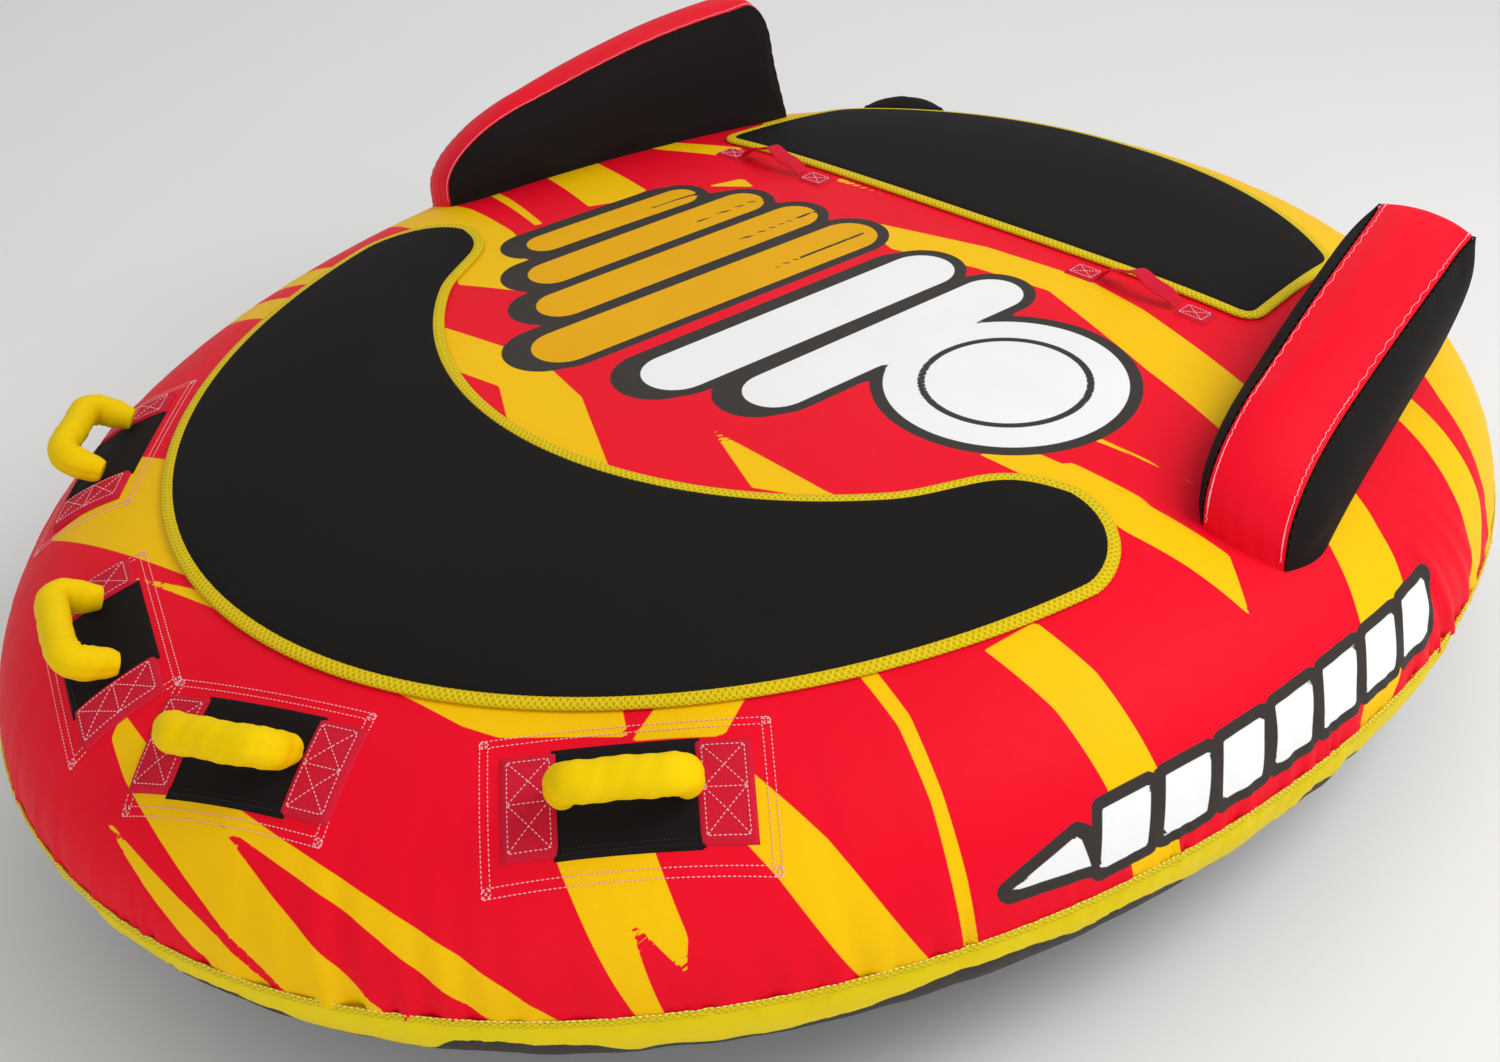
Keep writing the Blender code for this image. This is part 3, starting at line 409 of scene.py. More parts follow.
def frames_along(path, normals, closed):
    """Unit tangents and sideways directions of a path that lies on a surface."""
    if closed:
        ahead = np.roll(path, -1, 0) - np.roll(path, 1, 0)
    else:
        ahead = np.gradient(path, axis=0)
    ahead = unit(ahead)
    return ahead, unit(np.cross(normals, ahead))


def tape(name, path, normals, around, section, closed=True):
    """A band swept along a path: section(u, turn) gives its sideways and upward offsets."""
    side = frames_along(path, normals, closed)[1]
    count = len(path)
    if closed:
        path, normals, side = (joined_up(a) for a in (path, normals, side))
        count += 1

    def shape(u, v):
        spot = nearest_row(u, count - 1)
        turn = 2 * np.pi * v
        across, up = section(u, turn)
        return path[spot] + side[spot] * across[:, None] + normals[spot] * up[:, None]

    return close_up(sheet(name, count - 1, around, shape))


def loft(name, path, side_axis, around, section, end_columns=2):
    """A closed tube along an open path that lies across side_axis; both ends are drawn shut."""
    ahead = unit(np.gradient(path, axis=0))
    up = unit(np.cross(np.asarray(side_axis), ahead))
    count = len(path)
    columns = count - 1 + 2 * end_columns

    def shape(u, v):
        column = nearest_row(u, columns) - end_columns
        spot = np.clip(column, 0, count - 1)
        past = np.abs(column - spot)
        shrink = 1 - past / end_columns
        across, rise = section(spot / (count - 1), 2 * np.pi * v)
        return path[spot] + (np.asarray(side_axis)[None, :] * across[:, None]
                             + up[spot] * rise[:, None]) * shrink[:, None]

    return close_up(sheet(name, columns, around, shape))


def resample(path, count, closed=False):
    """Evenly spaced points along a path."""
    path = np.asarray(path, float)
    if closed:
        path = joined_up(path)
    steps = path_steps(path)
    spots = np.linspace(0, steps[-1], count + (1 if closed else 0))
    if closed:
        spots = spots[:-1]
    return np.stack([np.interp(spots, steps, path[:, k]) for k in range(path.shape[1])], 1)


def stitches(name, runs, pitch, radius=0.0006, fill=0.78):
    """Short threads along runs of (points, normals): one small shape, copied to every stitch."""
    deselect_all()
    bpy.ops.mesh.primitive_uv_sphere_add(segments=6, ring_count=4, radius=1)
    obj = bpy.context.object
    obj.name = obj.data.name = name
    one = points_of(obj)
    faces = [tuple(polygon.vertices) for polygon in obj.data.polygons]
    verts, polygons = [], []
    for points, normals in runs:
        count = max(2, int(round(path_length(points) / pitch)) + 1)
        steps = path_steps(points)
        spots = np.linspace(0, steps[-1], count)
        middle = np.stack([np.interp(spots, steps, points[:, k]) for k in range(3)], 1)
        up = unit(np.stack([np.interp(spots, steps, normals[:, k]) for k in range(3)], 1))
        ahead, side = frames_along(middle, up, False)
        for k in range(count - 1):
            centre = (middle[k] + middle[k + 1]) / 2
            shape = (one[:, :1] * ahead[k] * pitch * fill / 2 + one[:, 1:2] * side[k] * radius
                     + one[:, 2:] * up[k] * radius * 0.8)
            base = len(verts) * len(one)
            verts.append(centre + shape)
            polygons += [tuple(base + v for v in face) for face in faces]
    mesh = bpy.data.meshes.new(name)
    mesh.from_pydata(np.concatenate(verts).tolist(), [], polygons)
    obj.data = mesh
    return smooth(obj, 80)


# ---- outlines and print -----------------------------------------------------------------------------
def distance_to_line(u, v, start, stop):
    """Distance from each place to a straight line between two points."""
    dx, dy = stop[0] - start[0], stop[1] - start[1]
    along = np.clip(((u - start[0]) * dx + (v - start[1]) * dy) / max(dx * dx + dy * dy, 1e-12), 0, 1)
    return np.hypot(u - start[0] - along * dx, v - start[1] - along * dy)


def edge_distance(u, v, outline):
    """Distance from each place to a polygon's edge."""
    nearest = np.full(u.shape, np.inf)
    for k, corner in enumerate(outline):
        nearest = np.minimum(nearest, distance_to_line(u, v, outline[k - 1], corner))
    return nearest


def distance_inside(u, v, outline):
    """The same, positive inside the polygon and negative outside it."""
    inside = np.zeros(u.shape, bool)
    for k, (bx, by) in enumerate(outline):
        ax, ay = outline[k - 1]
        if ay != by:
            inside ^= ((ay > v) != (by > v)) & (u < (bx - ax) * (v - ay) / (by - ay) + ax)
    nearest = edge_distance(u, v, outline)
    return np.where(inside, nearest, -nearest)


def distance_in_bar(u, v, start, stop, radius):
    """Distance from each place to the edge of a bar with round ends, positive inside it."""
    return radius - distance_to_line(u, v, start, stop)


def any_of(parts):
    """Signed distance to the union of shapes."""
    return np.maximum.reduce(list(parts))


# Places on the deck cloth, in metres across and along from its widest station, measured over the cloth.
SLASHES = (
    ((0.36, -0.127), (0.404, -0.087), (0.50, -0.080), (0.618, -0.070), (0.672, -0.108), (0.60, -0.115),
     (0.54, -0.124)),
    ((0.123, -0.265), (0.288, -0.273), (0.33, -0.27), (0.231, -0.315)),
    ((-0.30, -0.305), (-0.13, -0.281), (-0.03, -0.307), (0.12, -0.395), (0.05, -0.45), (-0.02, -0.41),
     (-0.118, -0.348), (-0.199, -0.358), (-0.24, -0.36)),
    ((-0.85, -0.02), (-0.70, -0.04), (-0.53, -0.062), (-0.41, -0.088), (-0.35, -0.115), (-0.262, -0.185),
     (-0.349, -0.223), (-0.42, -0.17), (-0.495, -0.15), (-0.70, -0.11), (-0.85, -0.10)),
    ((-0.518, -0.25), (-0.50, -0.296), (-0.70, -0.33), (-0.86, -0.37), (-0.86, -0.31), (-0.70, -0.275)),
    ((-0.507, -0.336), (-0.48, -0.388), (-0.66, -0.41), (-0.84, -0.47), (-0.84, -0.41), (-0.66, -0.36)),
    ((-0.40, -0.66), (-0.30, -0.64), (-0.10, -0.72), (-0.103, -0.745), (-0.376, -0.785), (-0.345, -0.735)),
    ((-0.18, -0.78), (0.265, -0.708), (0.30, -0.695), (0.383, -0.622), (0.346, -0.597), (0.20, -0.64), (0.0, -0.70),
     (-0.06, -0.745)),
    ((0.375, -0.572), (0.40, -0.50), (0.425, -0.515), (0.442, -0.566), (0.411, -0.598), (0.388, -0.623)),
    ((0.47, -0.42), (0.54, -0.438), (0.604, -0.469), (0.67, -0.505), (0.725, -0.538), (0.82, -0.61), (0.81, -0.625),
     (0.715, -0.548), (0.66, -0.516), (0.604, -0.483), (0.54, -0.453), (0.47, -0.436)),
    ((0.55, -0.279), (0.62, -0.278), (0.72, -0.296), (0.86, -0.33), (0.86, -0.395), (0.788, -0.373), (0.696, -0.348),
     (0.62, -0.336), (0.54, -0.338)),
    ((0.458, -0.575), (0.565, -0.571), (0.76, -0.587), (0.76, -0.655), (0.558, -0.625), (0.47, -0.62)),
    ((0.44, -0.665), (0.535, -0.715), (0.554, -0.742), (0.488, -0.736), (0.62, -0.83), (0.57, -0.82), (0.40, -0.735)),
    ((-0.03, -0.885), (0.03, -0.895), (0.204, -0.881), (0.396, -0.859), (0.56, -0.855), (0.54, -0.90), (0.304, -0.892),
     (0.146, -0.905), (0.373, -0.954), (0.47, -0.985), (0.36, -1.04), (0.28, -1.0), (0.027, -0.931), (-0.02, -0.91)),
    ((0.02, -0.968), (0.20, -0.990), (0.36, -1.035), (0.22, -1.036), (0.15, -1.012)),
    ((-0.10, 0.192), (0.082, 0.231), (0.22, 0.238), (0.312, 0.219), (0.497, 0.158), (0.651, 0.115), (0.739, 0.092),
     (0.87, 0.01), (0.87, -0.05), (0.80, -0.02), (0.743, 0.004), (0.666, 0.035), (0.516, 0.073), (0.389, 0.115),
     (0.205, 0.188), (0.105, 0.181), (-0.003, 0.158)),
    ((0.55, 0.315), (0.616, 0.319), (0.712, 0.323), (0.774, 0.296), (0.88, 0.24), (0.88, 0.20), (0.80, 0.25),
     (0.735, 0.254), (0.628, 0.265), (0.55, 0.27)),
    ((-0.616, 0.319), (-0.712, 0.323), (-0.774, 0.296), (-0.88, 0.24), (-0.88, 0.20), (-0.80, 0.25), (-0.735, 0.254),
     (-0.628, 0.265)),
    ((0.428, -0.031), (0.543, -0.017), (0.43, -0.024)),
    ((0.435, -0.088), (0.55, -0.072), (0.435, -0.077)),
    ((-0.55, 0.20), (-0.453, 0.213), (-0.361, 0.238), (-0.368, 0.273), (-0.457, 0.246), (-0.55, 0.24)),
    ((-0.80, 0.17), (-0.58, 0.155), (-0.472, 0.123), (-0.365, 0.096), (-0.365, 0.054), (-0.389, 0.018),
     (-0.495, 0.052), (-0.58, 0.08), (-0.80, 0.11)),
    ((-0.60, 0.01), (-0.509, -0.015), (-0.399, -0.05), (-0.40, -0.06), (-0.509, -0.028), (-0.60, 0.0)),
    ((-0.31, 0.15), (-0.29, 0.196), (-0.26, 0.185)),
    ((-0.19, 0.272), (-0.11, 0.268), (-0.19, 0.262)),
    ((-0.95, 0.33), (-0.77, 0.335), (-0.605, 0.369), (-0.45, 0.40), (-0.41, 0.35), (-0.30, 0.45), (0.30, 0.45),
     (0.50, 0.42), (0.605, 0.369), (0.77, 0.335), (0.95, 0.33), (0.95, 1.1), (-0.95, 1.1)),
)
GOLD_BARS = (((-0.315, 0.105), (-0.350, -0.085), 0.024), ((-0.238, 0.140), (-0.280, -0.135), 0.029),
             ((-0.158, 0.150), (-0.208, -0.180), 0.031), ((-0.068, 0.150), (-0.130, -0.245), 0.037))
WHITE_BARS = (((0.060, 0.135), (0.010, -0.205), 0.040), ((0.160, 0.140), (0.120, -0.165), 0.037))
DISC = ((0.293, 0.0), 0.128)
OUTLINE_WIDTH = 0.014
SIDE_OUTLINE_WIDTH = 0.011
SHADOW_SHIFT = (-0.010, -0.016)
DISC_RING_INSET = 0.040
DISC_RING_HALF_WIDTH = 0.004
SLIT_SHIFT = (0.010, 0.02)
SLIT_RADIUS = 0.0022
SIDE_STRIPE = ((0.712, -0.455), (0.735, -0.36), (0.757, -0.27), (0.771, -0.17), (0.779, -0.06), (0.780, 0.05),
               (0.772, 0.14))
SIDE_BARS = 8
SIDE_BAR_STEPS = (8, 6)      # steps of the stripe's path from one bar to the next, and along one bar
SIDE_BAR_HALF, SIDE_BAR_LEAN = 0.025, 0.012
SIDE_POINT_HALF, SIDE_POINT_REACH = 0.016, 0.03


def side_stripe_bars():
    """A row of slanted bars along the right-hand edge, pointed at its front end."""
    pitch, reach = SIDE_BAR_STEPS
    path = resample(np.array(SIDE_STRIPE), SIDE_BARS * pitch + 1)
    bars = []
    for k in range(SIDE_BARS):
        start, stop = path[pitch * k], path[pitch * k + reach]
        along = unit(stop - start)
        side = np.array([along[1], -along[0]])
        half, lean = (SIDE_BAR_HALF, SIDE_BAR_LEAN) if k else (SIDE_POINT_HALF, 0.0)
        front = [start - side * half + along * lean, start + side * half - along * lean]
        rear = [stop + side * half - along * lean, stop - side * half + along * lean]
        if k == 0:
            front = [start - along * SIDE_POINT_REACH]
        bars.append([tuple(p) for p in front + rear])
    return bars


def deck_print(u, v):
    """Signed distances of the deck's printed shapes: slashes, dark outlines, gold and white."""
    slashes = any_of([distance_inside(u, v, slash) for slash in SLASHES])
    gold = any_of([distance_in_bar(u, v, *bar) for bar in GOLD_BARS])
    discs = DISC[1] - np.hypot(u - DISC[0][0], v - DISC[0][1])
    white = np.maximum(any_of([distance_in_bar(u, v, *bar) for bar in WHITE_BARS]), discs)
    stripe = any_of([distance_inside(u, v, bar) for bar in side_stripe_bars()])
    shifted = u - SHADOW_SHIFT[0], v - SHADOW_SHIFT[1]
    shadow = any_of([distance_in_bar(*shifted, *bar) for bar in GOLD_BARS + WHITE_BARS])
    dark = any_of([gold + OUTLINE_WIDTH, white + OUTLINE_WIDTH, shadow + OUTLINE_WIDTH, stripe + SIDE_OUTLINE_WIDTH])
    ring = DISC_RING_HALF_WIDTH - np.abs(discs - DISC_RING_INSET)
    moved = u - SLIT_SHIFT[0], v - SLIT_SHIFT[1]
    slits = any_of([distance_in_bar(*moved, bar[0], (2 * np.array(bar[0]) + bar[1]) / 3, SLIT_RADIUS)
                    for bar in GOLD_BARS])
    gold = np.minimum(gold, -slits)
    white = np.minimum(np.maximum(white, stripe), -ring)
    return {"slash": slashes, "dark": dark, "gold": gold, "white": white}


def front_pad_halves(hull):
    """The crescent's outer and inner edges, both from the left tip to the right tip."""
    ring, centre, radius, tip_y = 0.775, 0.155, 0.465, -0.118
    reach = hull.reach[1] * ring
    share = (hull.middle - tip_y) / reach
    outer_x = hull.half_width * ring * (1 - share ** hull.fullness[1]) ** (1 / hull.fullness[1])
    inner_x = math.sqrt(radius ** 2 - (centre - tip_y) ** 2)
    tip_x, tip_radius = (outer_x + inner_x) / 2, (outer_x - inner_x) / 2
    xs = outer_x * np.sin(np.linspace(-np.pi / 2, np.pi / 2, 121))
    front = hull.middle - reach * (1 - (np.abs(xs) / (ring * hull.half_width)) ** hull.fullness[1]) ** (
        1 / hull.fullness[1])
    quarter = np.linspace(np.pi / 2, 0, 13)
    tip = np.stack([tip_radius * np.cos(quarter), tip_y + tip_radius * np.sin(quarter)], 1)
    flip = np.array([-1, 1])
    right_outer = (tip + [tip_x, 0])[::-1]
    left_outer = (tip + [tip_x, 0]) * flip
    outer = np.concatenate([left_outer, np.stack([xs, front], 1)[1:-1], right_outer])
    swing = math.acos((centre - tip_y) / radius)
    angles = -np.pi / 2 + np.linspace(-swing, swing, 61)
    arc = np.stack([radius * np.cos(angles), centre + radius * np.sin(angles)], 1)
    inner_tip = tip * flip + [tip_x, 0]
    inner = np.concatenate([inner_tip * flip, arc[1:-1], inner_tip[::-1]])
    return outer, soften(inner, 0.10)


def rear_pad_halves(hull):
    """The rear pad's rear and front edges, both from the left side to the right."""
    ring, front_y, half_front, half_rear, corner = 0.79, 0.372, 0.41, 0.385, 0.045
    reach = hull.reach[0] * ring
    xs = np.linspace(-half_rear, half_rear, 81)
    rear = hull.middle + reach * (1 - (np.abs(xs) / (ring * hull.half_width)) ** hull.fullness[0]) ** (
        1 / hull.fullness[0])
    side_y = (front_y + rear[0]) / 2
    side_x = (half_front + half_rear) / 2
    edge = np.stack([xs, rear], 1)
    outer = np.concatenate([[(-side_x, side_y)], edge, [(side_x, side_y)]])
    inner = np.array([(-side_x, side_y), (-half_front, front_y), (half_front, front_y), (side_x, side_y)])
    return soften(outer, corner), soften(inner, corner)


def soften(path, radius):
    """Rounds an open path's corners by averaging each point with its surroundings along the path."""
    fine = resample(path, 601)
    step = np.linalg.norm(fine[1] - fine[0])
    reach = max(1, int(radius / 2 / step))
    padded = np.concatenate([2 * fine[:1] - fine[reach:0:-1], fine, 2 * fine[-1:] - fine[-2:-reach - 2:-1]])
    kernel = np.ones(2 * reach + 1) / (2 * reach + 1)
    return np.stack([np.convolve(padded[:, k], kernel, "valid") for k in range(2)], 1)


def ripples(turn, counts, seed):
    """Waves round the outline: a sum of whole numbers of turns with seeded phases."""
    random = np.random.default_rng(seed)
    total = np.zeros_like(turn)
    for count in counts:
        total += np.sin(count * turn + random.uniform(0, 2 * np.pi)) * random.uniform(0.5, 1.0)
    return total / math.sqrt(len(counts))


# ---- materials --------------------------------------------------------------------------------------
def cloth_base(shader, vector, pitch=0.0011, depth=0.00018):
    """Weave and slight unevenness shared by the woven cloths; returns tone and normal."""
    broad = shader.noise(vector, 9.0)
    fine = shader.noise(vector, 420.0, 2.0)
    height = weave(shader, vector, pitch) * 0.35 + fine * 0.8 + broad * 1.5
    return broad * 0.10 + fine * 0.06 + 0.92, shader.bump(height, depth, 0.55)


def tinted(shader, tone, colour):
    """A colour darkened by a tone value."""
    grey = shader.node("ShaderNodeCombineColor", inputs={0: tone, 1: tone, 2: tone})
    return shader.node("ShaderNodeMix", {"data_type": "RGBA", "blend_type": "MULTIPLY"},
                       {0: 1.0, 6: colour, 7: grey}, 2)


def printed_cloth(name, ground, inks, blur):
    """Cloth with inks over its ground colour, in order; each ink is a painted distance's name and a colour."""
    shader = Shader(name, Specular_IOR_Level=0.07)
    vector = shader.place()
    tone, normal = cloth_base(shader, vector)
    cloth = ground
    for layer, ink in inks:
        cloth = shader.mix(shader.ramp(shader.attribute(layer), -blur, blur), cloth, ink)
    rough = shader.noise(vector, 60.0) * 0.16 + 0.42
    return shader.done(Base_Color=tinted(shader, tone, cloth), Normal=normal, Roughness=rough)


def plain_cloth(name, colour, rough=0.5):
    shader = Shader(name, Specular_IOR_Level=0.07)
    vector = shader.place()
    tone, normal = cloth_base(shader, vector)
    return shader.done(Base_Color=tinted(shader, tone, colour), Normal=normal,
                       Roughness=shader.noise(vector, 60.0) * 0.14 + (rough - 0.07))


def neoprene_cloth(name, colour):
    shader = Shader(name, Specular_IOR_Level=0.09)
    vector = shader.place()
    nap = shader.noise(vector, 900.0, 2.0)
    broad = shader.noise(vector, 6.0)
    knit = weave(shader, vector, 0.0014)
    normal = shader.bump(nap + knit * 0.3, 0.00025, 0.6)
    tone = nap * 0.5 + broad * 0.35 + 0.60
    return shader.done(Base_Color=tinted(shader, tone, colour), Normal=normal, Roughness=nap * 0.2 + 0.66)


def braided_tape(name, colour, length):
    """Braid on a swept tape, read from its UV map, with painted shade in the grooves between its strands."""
    shader = Shader(name, Specular_IOR_Level=0.15)
    vector = shader.flat()
    turns = 2 * math.pi * round(length / 0.0062)
    along = shader.axis(vector, "X") * turns
    around = shader.axis(vector, "Y") * (2 * math.pi * 5)
    over = shader.math("MAXIMUM", shader.sine(along + around), shader.sine(along - around))
    # painted shade: the tone is lighter where a strand lies on top and darker in the grooves between strands; the
    # noise adds random unevenness
    tone = over * 0.16 + shader.noise(shader.place(), 300.0) * 0.15 + 0.76
    return shader.done(Base_Color=tinted(shader, tone, colour), Roughness=over * -0.1 + 0.62,
                       Normal=shader.bump(over, 0.0007, 0.8))


def ribbed_webbing(name, colour, ribs=0.0016):
    shader = Shader(name, Specular_IOR_Level=0.15)
    vector = shader.place()
    height = weave(shader, vector, ribs)
    # painted shade: the tone is a little lighter where the weave rises and darker where the threads dip; the noise
    # adds random unevenness
    tone = height * 0.05 + shader.noise(vector, 500.0) * 0.16 + 0.88
    return shader.done(Base_Color=tinted(shader, tone, colour), Roughness=height * 0.05 + 0.60,
                       Normal=shader.bump(height, 0.0004, 0.7))


def thread_finish(name, colour):
    shader = Shader(name, Specular_IOR_Level=0.4)
    twist = shader.noise(shader.place(), 1500.0, 1.0)
    return shader.done(Base_Color=tinted(shader, twist * 0.3 + 0.85, colour), Roughness=twist * 0.2 + 0.4,
                       Normal=shader.bump(twist, 0.0002, 0.5))


def moulded_plastic(name, colour, rough=0.38):
    shader = Shader(name, Specular_IOR_Level=0.5)
    grain = shader.noise(shader.place(), 900.0)
    return shader.done(Base_Color=tinted(shader, grain * 0.2 + 0.9, colour), Roughness=grain * 0.15 + rough,
                       Normal=shader.bump(grain, 0.0001, 0.4))


def brushed_metal(name):
    shader = Shader(name, Metallic=1.0)
    vector = shader.node("ShaderNodeMapping", inputs={"Vector": shader.place(), "Scale": (40.0, 40.0, 900.0)})
    streak = shader.noise(vector, 1.0)
    return shader.done(Base_Color=tinted(shader, streak * 0.2 + 0.85, (0.62, 0.62, 0.63)),
                       Roughness=streak * 0.25 + 0.2, Normal=shader.bump(streak, 0.0001, 0.3))


# ---- placing helpers --------------------------------------------------------------------------------
def box_middle(node):
    """The middle of a node's box, in plan."""
    low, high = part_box(node)
    return (low[0] + high[0]) / 2, (low[1] + high[1]) / 2


def joint_of(name):
    return next(joint for joint in frame["record"]["behaviour"]["joints"] if joint["name"] == name)


class SkinFrame:
    """A frame on the upper or lower skin: across, along and out of the cloth."""

    def __init__(self, hull, x, y, across, under=False):
        self.skin = hull.base if under else hull.top
        point, normal = self.skin(np.array([x]), np.array([y]))
        self.origin, self.out = point[0], normal[0]
        across = np.asarray(across, float)
        across = across - self.out * across.dot(self.out)
        self.across = across / np.linalg.norm(across)
        self.along = np.cross(self.out, self.across)

    def on_skin(self, a, b, lift=0.0):
        """Points and normals on the skin at local places a and b."""
        flat = self.origin[:2] + np.multiply.outer(a, self.across[:2]) + np.multiply.outer(b, self.along[:2])
        return self.skin(flat[..., 0], flat[..., 1], lift)

    def off_skin(self, a, b, c):
        return (self.origin + np.multiply.outer(a, self.across) + np.multiply.outer(b, self.along)
                + np.multiply.outer(c, self.out))


def handle_frame(hull, label):
    joint = joint_of(f"{label}_handle_flop")
    x, y, _ = joint["pos_m"]
    across = np.array(joint["axis"])
    foot = np.array([x, y])
    for _ in range(4):
        normal = hull.top(foot[:1], foot[1:])[1][0]
        foot = np.array([x, y]) - normal[:2] * HINGE_HEIGHT
    return SkinFrame(hull, foot[0], foot[1], across)


HANDLES = ("right_outer", "right_inner", "left_outer", "left_inner")
GRIP_PINCH = 0.36      # how much narrower a grip's padding gets at its two ends
GRIP_SECTION = (1.08, 0.92)      # a grip is a little wider than it is deep
HINGE_HEIGHT = 0.0225
FLOP_LIMIT = 55.0      # degrees off upright that a grip falls down the slope


def grip_lean(label):
    """How far off upright a grip has flopped at rest."""
    return math.radians(FLOP_LIMIT - joint_of(f"{label}_handle_flop")["range_deg"][1])


def patch(name, spot, centre, size, thickness, roll=0.0025, hem=0.0, cell=0.0035):
    """A flat piece sewn on a skin: its edges roll down to the cloth, and hem thickens its front edge."""
    columns, rows = (max(6, int(side / cell)) for side in size)

    def shape(u, v):
        a, b = (u - 0.5) * size[0], (v - 0.5) * size[1]
        inside = np.minimum(size[0] / 2 - np.abs(a), size[1] / 2 - np.abs(b))
        edge = np.clip(inside / roll, 0, 1)
        lift = thickness * np.sqrt(1 - (1 - edge) ** 2) + 0.0002
        if hem:
            lift = lift + hem * np.exp(-(((v * size[1]) - 0.006) / 0.003) ** 2) * edge
        return spot.on_skin(a + centre[0], b + centre[1], lift)[0]

    obj = sheet(name, columns, rows, shape)
    return smooth(obj, 60)


def rectangle(centre, half_a, half_b):
    """A closed run of local places round a rectangle."""
    corners = (-1, -1), (1, -1), (1, 1), (-1, 1), (-1, -1)
    return [(centre[0] + half_a * a, centre[1] + half_b * b) for a, b in corners]


def run_on(spot, places, lift, step=0.003):
    """A stitch run along straight stretches between local places on a skin."""
    places = np.asarray(places, float)
    total = np.linalg.norm(np.diff(places, axis=0), axis=1).sum()
    fine = np.concatenate([np.linspace(places[k], places[k + 1], max(2, int(total / step)))
                           for k in range(len(places) - 1)])
    keep = np.concatenate([[True], np.linalg.norm(np.diff(fine, axis=0), axis=1) > 1e-9])
    return spot.on_skin(fine[keep, 0], fine[keep, 1], lift)


def box_and_crosses(spot, centre, size, boxes, lift):
    """Runs of a box stitch: its outline, the bars between boxes and a cross in each."""
    half_a, half_b = size[0] / 2, size[1] / 2
    ca, cb = centre
    runs = [run_on(spot, rectangle(centre, half_a, half_b), lift)]
    for k in range(boxes):
        low = cb - half_b + size[1] * k / boxes
        high = low + size[1] / boxes
        runs.append(run_on(spot, [(ca - half_a, low), (ca + half_a, high)], lift))
        runs.append(run_on(spot, [(ca - half_a, high), (ca + half_a, low)], lift))
        if k:
            runs.append(run_on(spot, [(ca - half_a, low), (ca + half_a, low)], lift))
    return runs


def sizes():
    return bpy.context.scene.deck_tube_sizes


def colour(name):
    return tuple(getattr(bpy.context.scene.deck_tube_colours, name))


# ---- operators --------------------------------------------------------------------------------------
DECK_GATHERS = range(150, 430, 23)      # waves round the outline in the gathers beside the seam
COVER_TUCK = 0.985      # how far the hidden hem is drawn in under the other cover


def disc_places(u, v, hem):
    """A square grid turned into a disc: the direction, and the share of the way to the edge (above 1 in the hem)."""
    a, b = 2 * u - 1, 2 * v - 1
    safe_a, safe_b = np.where(a == 0, 1e-12, a), np.where(b == 0, 1e-12, b)
    turn = np.where(np.abs(a) > np.abs(b), np.pi / 4 * b / safe_a + np.where(a < 0, np.pi, 0),
                    np.pi / 2 - np.pi / 4 * a / safe_b + np.where(b < 0, np.pi, 0))
    return turn, np.maximum(np.abs(a), np.abs(b)) * (1 + hem)


def tuck_hem(places, share, hem):
    """Draws the outermost row in behind the cover's edge."""
    tucked = share > 1 + hem / 2
    places[tucked, :2] = places[tucked, :2] * COVER_TUCK
    return places


class MESH_OT_deck_cover(bpy.types.Operator):
    """Upper cover: printed cloth over the whole deck, gathered towards the seam"""
    bl_idname = "mesh.deck_tube_deck_cover"
    bl_label = "Deck Cover"

    def execute(self, context):
        hull = Hull(sizes())
        cells = 296
        hem = 1 / (cells / 2 - 1)
        made = {}

        def shape(u, v):
            turn, share = disc_places(u, v, hem)
            x, y = hull.plan(turn, hull.ring_at_arc(np.minimum(share, 1)))
            made["x"], made["y"] = x, y
            reach = hull.seam_distance(x, y)
            gather = ripples(turn, DECK_GATHERS, 3) * np.exp(-reach / 0.022)
            sag = ripples(turn + 0.25 * reach, range(67, 190, 13), 5) * np.exp(-reach / 0.075)
            lift = sizes().pucker_depth * (gather + 1.4 * sag * (0.7 + 0.5 * np.sin(5 * turn + 1)))
            return tuck_hem(hull.top(x, y, lift)[0], share, hem)

        cover = sheet("deck_cover", cells, cells, shape)
        for name, values in deck_print(*hull.cloth(made["x"], made["y"])).items():
            paint(cover, name, values)
        inks = (("slash", colour("yellow")), ("dark", colour("dark")), ("gold", colour("gold")),
                ("white", colour("white")))
        finish_piece(smooth(cover, 60), "tube", printed_cloth("printed_cloth", colour("red"), inks, 0.0006),
                     ("top_cover", "rear_cover_panel"))
        return {"FINISHED"}


